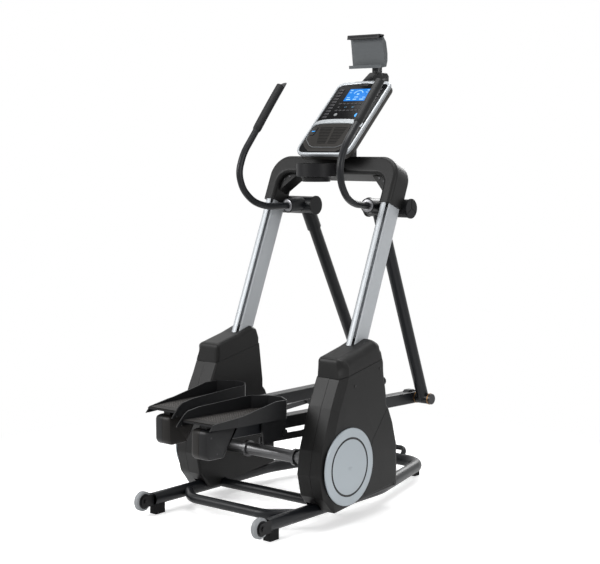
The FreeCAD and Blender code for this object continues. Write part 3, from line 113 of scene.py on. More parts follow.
SEEN = ("Is Camera Ray", "Is Glossy Ray", "Is Transmission Ray")
world = bpy.data.worlds.new("studio")
scene.world = world
world.use_nodes = True
air = world.node_tree
air.nodes.clear()
strength = add_node(air, "ShaderNodeMapRange", {"To Min": 0.35, "To Max": 1.0})
air.links.new(shown_behind(air, SEEN), strength.inputs["Value"])
glow = add_node(air, "ShaderNodeBackground", {"Color": (1, 1, 1, 1)})
air.links.new(strength.outputs["Result"], glow.inputs["Strength"])
air.links.new(glow.outputs[0], add_node(air, "ShaderNodeOutputWorld").inputs[0])

FLOOR_HALF = 14
SHADOW_REACH = (0.8, 1.9)
floor_mesh = bpy.data.meshes.new("floor")
floor_corners = [(-FLOOR_HALF, -FLOOR_HALF, 0), (FLOOR_HALF, -FLOOR_HALF, 0), (FLOOR_HALF, FLOOR_HALF, 0),
                 (-FLOOR_HALF, FLOOR_HALF, 0)]
floor_mesh.from_pydata(floor_corners, [], [(0, 1, 2, 3)])
floor = bpy.data.objects.new("floor", floor_mesh)
scene.collection.objects.link(floor)
paper = bpy.data.materials.new("white_paper")
paper.use_nodes = True
paper_tree = paper.node_tree
paper_tree.nodes.clear()
seen = shown_behind(paper_tree, SEEN[:2])
lift = add_node(paper_tree, "ShaderNodeMath", {1: 0.50}, operation="MULTIPLY")
paper_tree.links.new(seen, lift.inputs[0])
matt = add_node(paper_tree, "ShaderNodeBsdfDiffuse", {"Color": (0.88, 0.88, 0.88, 1)})
shine = add_node(paper_tree, "ShaderNodeEmission", {"Color": (1, 1, 1, 1)})
paper_tree.links.new(lift.outputs[0], shine.inputs["Strength"])
both = add_node(paper_tree, "ShaderNodeAddShader")
paper_tree.links.new(matt.outputs[0], both.inputs[0])
paper_tree.links.new(shine.outputs[0], both.inputs[1])
spot = add_node(paper_tree, "ShaderNodeTexCoord")
away = add_node(paper_tree, "ShaderNodeVectorMath", operation="LENGTH")
paper_tree.links.new(spot.outputs["Object"], away.inputs[0])
fade = add_node(paper_tree, "ShaderNodeMapRange", {"From Min": SHADOW_REACH[0], "From Max": SHADOW_REACH[1]},
                interpolation_type="SMOOTHSTEP")
paper_tree.links.new(away.outputs["Value"], fade.inputs["Value"])
far = add_node(paper_tree, "ShaderNodeMath", operation="MULTIPLY")
paper_tree.links.new(fade.outputs["Result"], far.inputs[0])
paper_tree.links.new(seen, far.inputs[1])
white = add_node(paper_tree, "ShaderNodeEmission", {"Color": (1, 1, 1, 1), "Strength": 1.0})
ground = add_node(paper_tree, "ShaderNodeMixShader")
paper_tree.links.new(far.outputs[0], ground.inputs[0])
paper_tree.links.new(both.outputs[0], ground.inputs[1])
paper_tree.links.new(white.outputs[0], ground.inputs[2])
paper_tree.links.new(ground.outputs[0], add_node(paper_tree, "ShaderNodeOutputMaterial").inputs[0])
floor_mesh.materials.append(paper)

# ---- Surface grain -----------------------------------------------------------------------------
# Paint and mouldings share one kind of unevenness: a fine grain that catches the light, and a
# faint cloudiness in colour and gloss left by spraying, moulding and handling.
GRAIN = bpy.data.node_groups.new("surface_grain", "ShaderNodeTree")
for label, kind, value in (("Colour", "Color", (0.5, 0.5, 0.5, 1)), ("Roughness", "Float", 0.5),
                           ("Grain Scale", "Float", 600.0), ("Grain Depth", "Float", 0.1), ("Cloud", "Float", 0.1)):
    GRAIN.interface.new_socket(label, in_out="INPUT", socket_type="NodeSocket" + kind).default_value = value
for label, kind in (("Colour", "Color"), ("Roughness", "Float"), ("Normal", "Vector")):
    GRAIN.interface.new_socket(label, in_out="OUTPUT", socket_type="NodeSocket" + kind)
given, result = add_node(GRAIN, "NodeGroupInput"), add_node(GRAIN, "NodeGroupOutput")
link = GRAIN.links.new
spot = add_node(GRAIN, "ShaderNodeTexCoord")
cloud = add_node(GRAIN, "ShaderNodeTexNoise", {"Scale": 9.0, "Detail": 5.0})
link(spot.outputs["Object"], cloud.inputs["Vector"])
swing = add_node(GRAIN, "ShaderNodeMath", {1: 0.5}, operation="SUBTRACT")
link(cloud.outputs["Fac"], swing.inputs[0])
amount = add_node(GRAIN, "ShaderNodeMath", operation="MULTIPLY")
link(swing.outputs[0], amount.inputs[0])
link(given.outputs["Cloud"], amount.inputs[1])
level = add_node(GRAIN, "ShaderNodeMath", {1: 1.0}, operation="ADD")
link(amount.outputs[0], level.inputs[0])
shade = add_node(GRAIN, "ShaderNodeVectorMath", operation="SCALE")
link(given.outputs["Colour"], shade.inputs[0])
link(level.outputs[0], shade.inputs["Scale"])
link(shade.outputs[0], result.inputs["Colour"])
gloss = add_node(GRAIN, "ShaderNodeMath", operation="ADD", use_clamp=True)
link(given.outputs["Roughness"], gloss.inputs[0])
link(amount.outputs[0], gloss.inputs[1])
link(gloss.outputs[0], result.inputs["Roughness"])
speck = add_node(GRAIN, "ShaderNodeTexNoise", {"Detail": 3.0})
link(spot.outputs["Object"], speck.inputs["Vector"])
link(given.outputs["Grain Scale"], speck.inputs["Scale"])
relief = add_node(GRAIN, "ShaderNodeBump", {"Distance": 0.001})
link(given.outputs["Grain Depth"], relief.inputs["Strength"])
link(speck.outputs["Fac"], relief.inputs["Height"])
link(relief.outputs[0], result.inputs["Normal"])


def finish(name, colour, roughness, metal=0.0, scale=600.0, depth=0.1, cloud=0.1, specular=0.5, light=None):
    """A material on the shared grain. light is the colour of a backlit part."""
    material = bpy.data.materials.new(name)
    material.use_nodes = True
    tree = material.node_tree
    tree.nodes.clear()
    grain = add_node(tree, "ShaderNodeGroup", node_tree=GRAIN)
    for key, value in (("Colour", (*colour, 1)), ("Roughness", roughness), ("Grain Scale", scale),
                       ("Grain Depth", depth), ("Cloud", cloud)):
        grain.inputs[key].default_value = value
    shader = add_node(tree, "ShaderNodeBsdfPrincipled", {
        "Metallic": metal, "Specular IOR Level": specular})
    if light:
        shader.inputs["Emission Color"].default_value = (*light, 1)
        shader.inputs["Emission Strength"].default_value = 1.0
    for output, target in (("Colour", "Base Color"), ("Roughness", "Roughness"), ("Normal", "Normal")):
        tree.links.new(grain.outputs[output], shader.inputs[target])
    tree.links.new(shader.outputs[0], add_node(tree, "ShaderNodeOutputMaterial").inputs[0])
    return material


def wear(material, *names):
    """Give CAD nodes a finish."""
    for name in names:
        NODES[name].data.materials.clear()
        NODES[name].data.materials.append(material)


# ---- Floor frame -------------------------------------------------------------------------------
# Bent and welded round steel tube, powder coated black, on moulded rubber feet.
powder_coat = finish("black_powder_coat", (0.0055, 0.0062, 0.0078), 0.36, scale=260, depth=0.06,
                     cloud=0.10, specular=0.26)
wear(powder_coat, "base_rails", "front_loop", "cross_tubes", "lift_handle", "drive_plates")
foot_rubber = finish("foot_rubber", (0.007, 0.007, 0.0075), 0.8, scale=400, depth=0.2, specular=0.15)
wear(foot_rubber, "rubber_feet")

# ---- Transport wheels --------------------------------------------------------------------------
# Grey rubber tyres on black hubs, each between the two cheeks of a plastic bracket on the rail's end.
moulded_black = finish("moulded_black", (0.006, 0.006, 0.0068), 0.45, scale=700, depth=0.12,
                       cloud=0.12, specular=0.18)
wear(moulded_black, "wheel_brackets", "wheel_axles")
dark_zinc = finish("dark_zinc", (0.05, 0.05, 0.052), 0.4, metal=0.9, scale=500, depth=0.05)
wear(dark_zinc, "frame_screws", "right_pivot_pins", "left_pivot_pins")
TYRE_INNER = 0.0295
TYRE_GREY = (0.25, 0.26, 0.27)
DEEP_BLACK = (0.01, 0.01, 0.011)


def middle_of(node):
    """The x and z of the middle of a CAD node."""
    low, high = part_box(node)
    return [(low[k] + high[k]) / 2 for k in (0, 2)]


def two_tone_about(material, axle, test, limits, plain, marked):
    """Colour a round piece by the distance from its axle: marked where the test holds, plain elsewhere."""
    tree = material.node_tree
    spot = add_node(tree, "ShaderNodeTexCoord")
    about_axle = add_node(tree, "ShaderNodeMapping", {"Location": (-axle[0], 0, -axle[1]), "Scale": (1, 0, 1)})
    distance = add_node(tree, "ShaderNodeVectorMath", operation="LENGTH")
    holds = add_node(tree, "ShaderNodeMath", limits, operation=test)
    two_tone = add_node(tree, "ShaderNodeMix", data_type="RGBA")
    two_tone.inputs["A"].default_value = (*plain, 1)
    two_tone.inputs["B"].default_value = (*marked, 1)
    grain = next(item for item in tree.nodes if item.type == "GROUP")
    tree.links.new(spot.outputs["Object"], about_axle.inputs["Vector"])
    tree.links.new(about_axle.outputs[0], distance.inputs[0])
    tree.links.new(distance.outputs["Value"], holds.inputs[0])
    tree.links.new(holds.outputs[0], two_tone.inputs["Factor"])
    tree.links.new(two_tone.outputs["Result"], grain.inputs["Colour"])


tyre = finish("grey_tyre_black_hub", TYRE_GREY, 0.62, scale=300, depth=0.15, cloud=0.2, specular=0.3)
two_tone_about(tyre, middle_of("right_wheel"), "GREATER_THAN", {1: TYRE_INNER}, DEEP_BLACK, TYRE_GREY)
wear(tyre, "right_wheel", "left_wheel")

# ---- Uprights and arch -------------------------------------------------------------------------
# Flat oval steel in satin silver paint, with a charcoal moulding over the arch.
silver_paint = finish("silver_paint", (0.42, 0.44, 0.46), 0.42, metal=0.2, scale=900, depth=0.05, cloud=0.06)
wear(silver_paint, "uprights")
charcoal = finish("charcoal_moulding", (0.0078, 0.0077, 0.0077), 0.42, scale=500, depth=0.07,
                  cloud=0.12, specular=0.20)
wear(charcoal, "top_arch", "arch_corner_plates")
wear(moulded_black, "arm_brackets")

# ---- Shrouds -----------------------------------------------------------------------------------
# Each side has an inner moulding, an outer moulding and a cap, in fine-textured charcoal plastic.
# The outer one has a broad chamfer down its rear edge, and the cap is crowned around the upright.
wear(charcoal, "right_shroud_inner", "left_shroud_inner")
wear(moulded_black, "power_inlet")
SIDES = (("right", -1), ("left", 1))
SHAFT_BACK = 0.1526
CRANK_X = (cad_box[0][0] + cad_box[1][0]) / 2 - SHAFT_BACK
SEAM_Y = 0.3236
CAP_Y = 0.258
SIDE_Y = 0.385
SEAM_REAR = (-0.042, 0.562)
SEAM_FRONT = (0.226, 0.614)
SIDE_OUTLINE = [
    (-0.042, 0.562, "rear"), (-0.091, 0.460, "rear"), (-0.146, 0.300, "rear"), (-0.160, 0.205, "rear"),
    (-0.140, 0.120, "rear"), (-0.083, 0.055, "sole"), (0.320, 0.0902, "sole"), (0.320, 0.180, "front"),
    (0.318, 0.260, "front"), (0.291, 0.351, "front"), (0.263, 0.411, "front"), (0.247, 0.428, "front"),
    (0.247, 0.459, "front"), (0.226, 0.614, "front"), (0.226, 0.640, "top"), (0.210, 0.678, "top"),
    (0.180, 0.692, "top"), (0.100, 0.668, "top"), (0.0, 0.645, "top"), (-0.035, 0.637, "cap_rear")]
CORNER_ROUND = [0.004, 0.05, 0.05, 0.05, 0.05, 0.012, 0.012, 0.03, 0.03, 0.03, 0.012, 0.008, 0.02, 0.02, 0.006,
                0.020, 0.026, 0.03, 0.03, 0.022]
ROUND_STEPS = 10
SOFT_REACH = 5
OUTLINE_STEP = 0.005
SEAM_GAP = 0.0009
# For each stretch: how far the edge cuts in, how deep, and 1 for a straight chamfer or 0 for a round.
EDGE = {"rear": (0.040, 0.014, 1.0), "sole": (0.009, 0.009, 0.0), "front": (0.010, 0.010, 0.0),
        "top": (0.034, 0.044, 0.0), "cap_rear": (0.040, 0.034, 0.3)}


def piece(name, body, corners, faces, materials, place=None, replaces=(), smooth=32, picks=None):
    """A finished mesh at the origin, riding on a body. picks gives each face the number of its material."""
    mesh = bpy.data.meshes.new(name)
    mesh.from_pydata([tuple(corner) for corner in corners], [], faces)
    for material in materials:
        mesh.materials.append(material)
    if picks:
        mesh.polygons.foreach_set("material_index", picks)
    if place is not None:
        mesh.transform(place)
    mesh.validate()
    fit(name, body, mesh, replaces, smooth)


def fit(name, body, mesh, replaces=(), smooth=32):
    """Turn a mesh's faces outwards, smooth it and fix it to its body."""
    work = bmesh.new()
    work.from_mesh(mesh)
    bmesh.ops.remove_doubles(work, verts=work.verts, dist=1e-6)
    bmesh.ops.recalc_face_normals(work, faces=work.faces)
    work.to_mesh(mesh)
    work.free()
    mesh.shade_smooth()
    mesh.set_sharp_from_angle(angle=math.radians(smooth))
    obj = bpy.data.objects.new(name, mesh)
    scene.collection.objects.link(obj)
    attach(obj, body)
    if replaces:
        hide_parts(*replaces)


def skin(rings):
    """Corners and faces of a surface through rings that have equal counts."""
    count = len(rings[0])
    corners = [corner for ring in rings for corner in ring]
    faces = []
    for level in range(len(rings) - 1):
        for i in range(count):
            j = (i + 1) % count
            faces.append((level * count + i, level * count + j, (level + 1) * count + j, (level + 1) * count + i))
    return corners, faces


def arc_corners(points, radii, steps=6):
    """A closed outline whose corners are rounded to the given radii."""
    outline = []
    count = len(points)
    for i, corner in enumerate(points):
        corner = Vector(corner)
        before = Vector(points[i - 1]) - corner
        after = Vector(points[(i + 1) % count]) - corner
        radius = radii[i] if isinstance(radii, (list, tuple)) else radii
        half = before.angle(after) / 2
        if radius <= 0 or half > math.radians(89.5):
            outline.append(corner)
            continue
        reach = min(radius / math.tan(half), 0.48 * before.length, 0.48 * after.length)
        start = corner + before.normalized() * reach
        end = corner + after.normalized() * reach
        for step in range(steps + 1):
            t = step / steps
            outline.append(start * (1 - t) ** 2 + corner * 2 * t * (1 - t) + end * t ** 2)
    return outline


def inward(outline):
    """Unit normals that point into a closed outline, which may run either way round."""
    area = sum(a.x * b.y - b.x * a.y for a, b in zip(outline, outline[1:] + outline[:1]))
    sense = 1 if area > 0 else -1
    normals = []
    for i, corner in enumerate(outline):
        along = (outline[(i + 1) % len(outline)] - outline[i - 1]).normalized()
        normals.append(Vector((-along.y, along.x)) * sense)
    return normals


def moulding(outline, steps, first_end=True):
    """A solid with a closed outline, set in by an amount at each y across the machine."""
    rings = [[(c.x + n.x * inset, y, c.y + n.y * inset) for c, n in zip(outline, inward(outline))]
             for inset, y in steps]
    corners, faces = skin(rings)
    if first_end:
        faces.append(tuple(range(len(outline))))
    faces.append(tuple(range(len(corners) - len(outline), len(corners))))
    return corners, faces


def even_steps(outline, step):
    """The same closed outline with corners at even distances."""
    lengths = [(b - a).length for a, b in zip(outline, outline[1:] + outline[:1])]
    count = round(sum(lengths) / step)
    even, walked, i = [], 0.0, 0
    for k in range(count):
        target = sum(lengths) * k / count
        while walked + lengths[i] < target:
            walked += lengths[i]
            i += 1
        t = (target - walked) / lengths[i]
        even.append(outline[i].lerp(outline[(i + 1) % len(outline)], t))
    return even


def softened(values, reach):
    """Each value of a closed run averaged with its neighbours."""
    count = len(values)
    return [sum((values[(i + k) % count] for k in range(-reach, reach + 1)), values[i] * 0) / (2 * reach + 1)
            for i in range(count)]


def side_moulding(start, inner_round):
    """A solid between two planes with the outline of the side, chamfered and crowned at its outer face."""
    outline = even_steps(arc_corners([(x, z) for x, z, _ in SIDE_OUTLINE], CORNER_ROUND, 5), OUTLINE_STEP)
    normals = softened(inward(outline), SOFT_REACH)
    spots = [(Vector(point[:2]), EDGE[point[2]]) for point in SIDE_OUTLINE]
    cuts = []
    for corner in outline:
        weights = [(1 / max((corner - spot).length, 0.004) ** 3, edge) for spot, edge in spots]
        total = sum(weight for weight, _ in weights)
        cuts.append(Vector([sum(weight * edge[k] for weight, edge in weights) / total for k in range(3)]))
    cuts = softened(cuts, SOFT_REACH)
    rings = []
    for step in range(4):
        t = step / 3
        inset = inner_round * (1 - math.sin(t * math.pi / 2))
        y = start + inner_round * (1 - math.cos(t * math.pi / 2))
        rings.append([(c.x + n.x * inset, y, c.y + n.y * inset) for c, n in zip(outline, normals)])
    for step in range(ROUND_STEPS + 1):
        t = step / ROUND_STEPS
        ring = []
        for corner, normal, (wide, deep, flat) in zip(outline, normals, cuts):
            across = flat * t + (1 - flat) * (1 - math.cos(t * math.pi / 2))
            up = flat * t + (1 - flat) * math.sin(t * math.pi / 2)
            spot = corner + normal * wide * across
            ring.append((spot.x, SIDE_Y - deep * (1 - up), spot.y))
        rings.append(ring)
    corners, faces = skin(rings)
    last = (len(rings) - 1) * len(outline)
    faces += [tuple(range(len(outline))), tuple(range(last, last + len(outline)))]
    return corners, faces


def cut_at_seam(mesh, keep, gap):
    """Cut a moulding along the cap's seam and keep the part above (1) or below (-1) it."""
    slope = Vector((SEAM_FRONT[0] - SEAM_REAR[0], 0, SEAM_FRONT[1] - SEAM_REAR[1])).normalized()
    up = Vector((-slope.z, 0, slope.x))
    work = bmesh.new()
    work.from_mesh(mesh)
    bmesh.ops.triangulate(work, faces=[face for face in work.faces if len(face.verts) > 4], ngon_method="EAR_CLIP")
    bmesh.ops.bisect_plane(work, geom=work.verts[:] + work.edges[:] + work.faces[:],
                           plane_co=Vector((SEAM_REAR[0], 0, SEAM_REAR[1])) + up * keep * gap, plane_no=up,
                           clear_inner=keep > 0, clear_outer=keep < 0)
    bmesh.ops.holes_fill(work, edges=[edge for edge in work.edges if edge.is_boundary])
    work.to_mesh(mesh)
    work.free()


CREASE = [(0.252, 0.416), (0.1528, 0.3006), (0.1306, 0.2332), (0.110, 0.150), (0.100, 0.085), (0.309, 0.1035),
          (0.309, 0.180), (0.307, 0.257), (0.281, 0.347), (0.256, 0.403)]
for name, side in SIDES:
    place = Matrix.Translation((CRANK_X, 0, 0)) @ Matrix.Diagonal((1, side, 1, 1))
    for label, keep, start, inner_round, node in (
            ("shroud_side", -1, SEAM_Y, 0.0012, f"{name}_shroud_outer"),
            ("shroud_cap", 1, CAP_Y, 0.016, "shroud_caps")):
        corners, faces = side_moulding(start, inner_round)
        mesh = bpy.data.meshes.new(label)
        mesh.from_pydata(corners, [], faces)
        mesh.materials.append(charcoal)
        cut_at_seam(mesh, keep, SEAM_GAP)
        mesh.transform(place)
        fit(f"{name}_{label}", "frame", mesh, [node] if keep < 0 or side < 0 else [], smooth=13)
    steps = ((0, SIDE_Y - 0.001), (0, SIDE_Y + 0.0002), (0.0016, SIDE_Y + 0.0010))
    corners, faces = moulding(arc_corners(CREASE, 0.012, 4), steps, first_end=False)
    piece(f"{name}_side_field", "frame", corners, faces, [charcoal], place, smooth=13)

# ---- Side discs and cross shaft ----------------------------------------------------------------
# Spun discs in pale silver paint, with a black groove near the rim and a bearing boss between each
# disc and its shroud, on the ends of a dark steel shaft.
CRANK_Z = 0.2225
DISC_RADIUS = 0.1495
GROOVE = (0.74 * DISC_RADIUS, 0.028 * DISC_RADIUS)
DISC_SILVER = (0.36, 0.40, 0.43)
disc_paint = finish("disc_paint", DISC_SILVER, 0.38, metal=0.25, scale=900, depth=0.04, cloud=0.05)
two_tone_about(disc_paint, (CRANK_X, CRANK_Z), "COMPARE", {1: GROOVE[0], 2: GROOVE[1]}, DISC_SILVER, DEEP_BLACK)
wear(disc_paint, "side_discs")
dark_steel = finish("dark_steel", (0.13, 0.13, 0.133), 0.34, metal=1.0, scale=300, depth=0.03, cloud=0.10)
wear(dark_steel, "crank_shaft", "crank_bearings", "flywheel_axle", "magnet_brake")
wear(moulded_black, "drive_pulley", "drive_belt")
cast_iron = finish("cast_iron", (0.16, 0.16, 0.165), 0.5, metal=0.8, scale=200, depth=0.3, cloud=0.2)
wear(cast_iron, "flywheel")

# ---- Swing arms --------------------------------------------------------------------------------
# Powder coated tube: a leg and a handle in one hub, and sintered bronze washers at the lower joint.
# A bright ring closes the hub's sleeve around the handle.
arm_names = [f"{name}_{part}" for name, _ in SIDES for part in ("arm_hub", "leg_tube", "handle_tube", "beam")]
wear(powder_coat, *arm_names)
bronze = finish("sintered_bronze", (0.36, 0.20, 0.08), 0.42, metal=1.0, scale=700, depth=0.2, cloud=0.2)
HUB = (CRANK_X + 0.452, 1.189)
SLEEVE_PAST = 0.006
LEG_ANGLE = {"right": 21.7, "left": 28.0}
HANDLE = [(-0.020, 0.199, 0.016), (-0.086, 0.208, 0.046), (-0.190, 0.227, 0.100), (-0.243, 0.239, 0.152),
          (-0.267, 0.249, 0.224), (-0.252, 0.254, 0.294), (-0.191, 0.252, 0.351), (-0.089, 0.247, 0.395),
          (0.017, 0.242, 0.444), (0.131, 0.236, 0.494)]


def arm_place(name, side):
    """From the arm's own frame, with its leg hanging straight down, to where it rests."""
    return (Matrix.Translation((HUB[0], 0, HUB[1])) @ Matrix.Rotation(math.radians(-LEG_ANGLE[name]), 4, "Y")
            @ Matrix.Diagonal((1, side, 1, 1)))


def loft(line, radii, sides=28):
    """A closed skin of round sections along a line."""
    rings = []
    across = Vector((0, 1, 0))
    for i, spot in enumerate(line):
        along = (line[min(i + 1, len(line) - 1)] - line[max(i - 1, 0)]).normalized()
        up = along.cross(across).normalized()
        level = up.cross(along)
        rings.append([spot + (up * math.sin(a) + level * math.cos(a)) * radii[i]
                      for a in (2 * math.pi * k / sides for k in range(sides))])
    corners, faces = skin(rings)
    last = (len(rings) - 1) * sides
    faces += [tuple(range(sides)), tuple(range(last, last + sides))]
    return corners, faces


satin_ring = finish("satin_ring", (0.22, 0.22, 0.23), 0.35, metal=0.7, scale=500, depth=0.03)
for name, side in SIDES:
    wear(bronze, name + "_pivot_washers")
    wear(dark_zinc, name + "_tie_bar")
    toward = (Vector(HANDLE[1]) - Vector(HANDLE[0])).normalized()
    end = Vector(HANDLE[1]) + toward * SLEEVE_PAST
    line = [end + toward * step for step in (-0.002, 0.0004, 0.0014, 0.0016)]
    corners, faces = loft(line, [0.0258, 0.0258, 0.0240, 0.0160])
    piece(f"{name}_sleeve_ring", f"{name}_arm", corners, faces, [satin_ring], arm_place(name, side))

# ---- Arm bracket caps --------------------------------------------------------------------------
# A round black end cap over each bracket's axle bolt, moulded in three fields with a groove between.
CAP_RADIUS = 0.0385
FIELD = math.radians(120)
FIELD_GAP = 0.035
ARC_STEPS = 14
CAP_STEPS = ((0, 0.3515), (0, 0.3530), (0.0008, 0.3538))
cap_middle = middle_of("arm_brackets")


def joined(parts):
    """The corners and faces of several shapes as one."""
    corners, faces = [], []
    for more, their_faces in parts:
        faces += [tuple(i + len(corners) for i in face) for face in their_faces]
        corners += more
    return corners, faces


fields = []
for field in range(3):
    first = math.radians(90) + FIELD * field + FIELD_GAP
    angles = [first + step / ARC_STEPS * (FIELD - 2 * FIELD_GAP) for step in range(ARC_STEPS + 1)]
    sector = [(CAP_RADIUS * math.cos(angle), CAP_RADIUS * math.sin(angle)) for angle in angles]
    sector.append((0.0022 * math.cos(first + 1.01), 0.0022 * math.sin(first + 1.01)))
    fields.append(moulding(arc_corners(sector, 0.001, 2), CAP_STEPS, first_end=False))
corners, faces = joined(fields)
for name, side in SIDES:
    place = Matrix.Translation((cap_middle[0], 0, cap_middle[1])) @ Matrix.Diagonal((1, side, 1, 1))
    piece(f"{name}_bracket_cap", "frame", corners, faces, [moulded_black], place)

# ---- Hand grips --------------------------------------------------------------------------------
# Fine black foam over the handle's upper run, a little thicker than the tube, with a step where it
# begins and a flat oblique cap at the forward end.
grip_foam = finish("grip_foam", (0.0055, 0.0058, 0.0065), 0.55, scale=900, depth=0.10, cloud=0.1, specular=0.22)
GRIP_STEPS = 26
GRIP_SIDES = 32
GRIP_TIP = Vector((0.176, 0.236, 0.490))
bend, end = Vector(HANDLE[8]), Vector(HANDLE[9])
start = Vector(HANDLE[7]).lerp(bend, 0.06)
line = [start]
for step in range(1, GRIP_STEPS + 1):
    t = step / GRIP_STEPS
    line.append(start * (1 - t) ** 2 + (bend * 2 - (start + end) / 2) * 2 * t * (1 - t) + end * t ** 2)
corners, faces = loft(line, [0.0148, 0.0172] + [0.0178] * (len(line) - 2), GRIP_SIDES)
faces.pop()
tip = GRIP_TIP - end
middle = end + tip * 0.32
along = (end - bend).normalized()
up = along.cross(Vector((0, 1, 0))).normalized()
level = up.cross(along)
slant = tip.normalized() * (1 if up.dot(tip) > 0 else -1)
for grow, ahead in ((1.0, 0.0), (0.93, 0.003)):
    first = len(corners) - GRIP_SIDES
    for k in range(GRIP_SIDES):
        angle, after = 2 * math.pi * k / GRIP_SIDES, (k + 1) % GRIP_SIDES
        corners.append(middle + slant * 0.0225 * grow * math.sin(angle) + level * 0.0152 * grow * math.cos(angle)
                       + along * ahead)
        faces.append((first + k, first + after, first + GRIP_SIDES + after, first + GRIP_SIDES + k))
first = len(corners) - GRIP_SIDES
corners.append(middle + along * 0.0035)
faces += [(first + k, first + (k + 1) % GRIP_SIDES, first + GRIP_SIDES) for k in range(GRIP_SIDES)]
for name, side in SIDES:
    piece(f"{name}_hand_grip", f"{name}_arm", corners, faces, [grip_foam], arm_place(name, side),
          [f"{name}_grip"], smooth=40)

# ---- Pedals ------------------------------------------------------------------------------------
# A deep foot plate moulded in charcoal plastic, with a brown-black rubber tread bonded into it.
# Rows of low studs stand on the tread, and a pod closes the beam's rear end below.
tread_rubber = finish("tread_rubber", (0.0075, 0.0065, 0.0058), 0.60, scale=500, depth=0.2, cloud=0.15,
                      specular=0.2)
pedal_black = finish("pedal_black", (0.0068, 0.0070, 0.0078), 0.40, scale=700, depth=0.12, cloud=0.12,
                     specular=0.24)
pod_brown = finish("pod_brown", (0.009, 0.0078, 0.007), 0.42, scale=700, depth=0.14, cloud=0.12, specular=0.22)
stud_rubber = finish("stud_rubber", (0.030, 0.026, 0.023), 0.35, scale=500, depth=0.1, cloud=0.15, specular=0.4)
BEAM_RISE = {"right": 1.9, "left": 0.3}


def rows_of(name, shape, columns, rows, pitch, material):
    """Copies of a small shape in straight rows, as one mesh about the middle of the field."""
    tree = bpy.data.node_groups.new(name, "GeometryNodeTree")
    sockets = [("Shape", "NodeSocketGeometry", None), ("Columns", "NodeSocketInt", columns),
               ("Rows", "NodeSocketInt", rows), ("Field Long", "NodeSocketFloat", pitch[0] * (columns - 1)),
               ("Field Wide", "NodeSocketFloat", pitch[1] * (rows - 1))]
    for label, kind, _ in sockets:
        tree.interface.new_socket(label, in_out="INPUT", socket_type=kind)
    tree.interface.new_socket("Geometry", in_out="OUTPUT", socket_type="NodeSocketGeometry")
    given, result = add_node(tree, "NodeGroupInput"), add_node(tree, "NodeGroupOutput")
    grid = add_node(tree, "GeometryNodeMeshGrid")
    for source, target in (("Columns", "Vertices X"), ("Rows", "Vertices Y"), ("Field Long", "Size X"),
                           ("Field Wide", "Size Y")):
        tree.links.new(given.outputs[source], grid.inputs[target])
    copies = add_node(tree, "GeometryNodeInstanceOnPoints")
    real = add_node(tree, "GeometryNodeRealizeInstances")
    dress = add_node(tree, "GeometryNodeSetMaterial", {"Material": material})
    tree.links.new(grid.outputs["Mesh"], copies.inputs["Points"])
    tree.links.new(given.outputs["Shape"], copies.inputs["Instance"])
    tree.links.new(copies.outputs[0], real.inputs[0])
    tree.links.new(real.outputs[0], dress.inputs["Geometry"])
    tree.links.new(dress.outputs[0], result.inputs[0])
    mesh = bpy.data.meshes.new(name)
    mesh.from_pydata([tuple(corner) for corner in shape[0]], [], shape[1])
    holder = bpy.data.objects.new(name, mesh)
    scene.collection.objects.link(holder)
    setup = holder.modifiers.new(name, "NODES")
    setup.node_group = tree
    identifiers = {item.name: item.identifier for item in tree.interface.items_tree if item.in_out == "INPUT"}
    for label, _, value in sockets[1:]:
        setup[identifiers[label]] = value
    ready = holder.evaluated_get(bpy.context.evaluated_depsgraph_get())
    result_mesh = bpy.data.meshes.new_from_object(ready)
    bpy.data.objects.remove(holder)
    return result_mesh


def turned(profile, sides):
    """Rings about an upright axis, one for each (radius, height) of a profile."""
    return [[(radius * math.cos(2 * math.pi * k / sides), radius * math.sin(2 * math.pi * k / sides), height)
             for k in range(sides)] for radius, height in profile]


def stud(radius, height, sides=8):
    """A low stud with a chamfered top."""
    corners, faces = skin(turned(((radius, 0.0), (radius * 0.85, height * 0.7), (radius * 0.55, height)), sides))
    faces.append(tuple(range(2 * sides, 3 * sides)))
    return corners, faces


def beam_place(name):
    """From the beam's own frame, which starts at its front pivot, to where it rests."""
    pivot = middle_of(name + "_pivot_washers")
    return Matrix.Translation((pivot[0], 0, pivot[1])) @ Matrix.Rotation(math.radians(BEAM_RISE[name]), 4, "Y")


STUD_RADIUS, STUD_HEIGHT, STUD_PITCH = 0.0042, 0.0016, 0.0125
BARE_LONG, BARE_WIDE = 0.060, 0.030
for name, side in SIDES:
    wear(pedal_black, name + "_pedal")
    wear(tread_rubber, name + "_tread")
    on_beam = beam_place(name)
    to_beam = on_beam.inverted()
    spots = [to_beam @ corner.co for corner in NODES[name + "_tread"].data.vertices]
    low = [min(spot[k] for spot in spots) for k in range(3)]
    high = [max(spot[k] for spot in spots) for k in range(3)]
    columns = int((high[0] - low[0] - BARE_LONG) / STUD_PITCH)
    rows = int((high[1] - low[1] - BARE_WIDE) / STUD_PITCH)
    mesh = rows_of(name + "_tread_studs", stud(STUD_RADIUS, STUD_HEIGHT), columns, rows, (STUD_PITCH, STUD_PITCH),
                   stud_rubber)
    middle = Vector(((low[0] + high[0]) / 2 + 0.005, (low[1] + high[1]) / 2, high[2] - 0.0001))
    mesh.transform(on_beam @ Matrix.Translation(middle))
    fit(name + "_tread_studs", name + "_pedal_body", mesh)

POD_SCREWS = ((-1.328, 0.000), (-1.296, -0.062))
POD_FACE_Y = 0.1778
for name, side in SIDES:
    screws = []
    for ahead, up in POD_SCREWS:
        head, head_faces = stud(0.0042, 0.0014, 14)
        screws.append(([(ahead + x, POD_FACE_Y + z, up + y) for x, y, z in head], head_faces))
    corners, faces = joined(screws)
    piece(f"{name}_pod_screws", f"{name}_beam_body", corners, faces, [dark_zinc],
          beam_place(name) @ Matrix.Diagonal((1, side, 1, 1)))

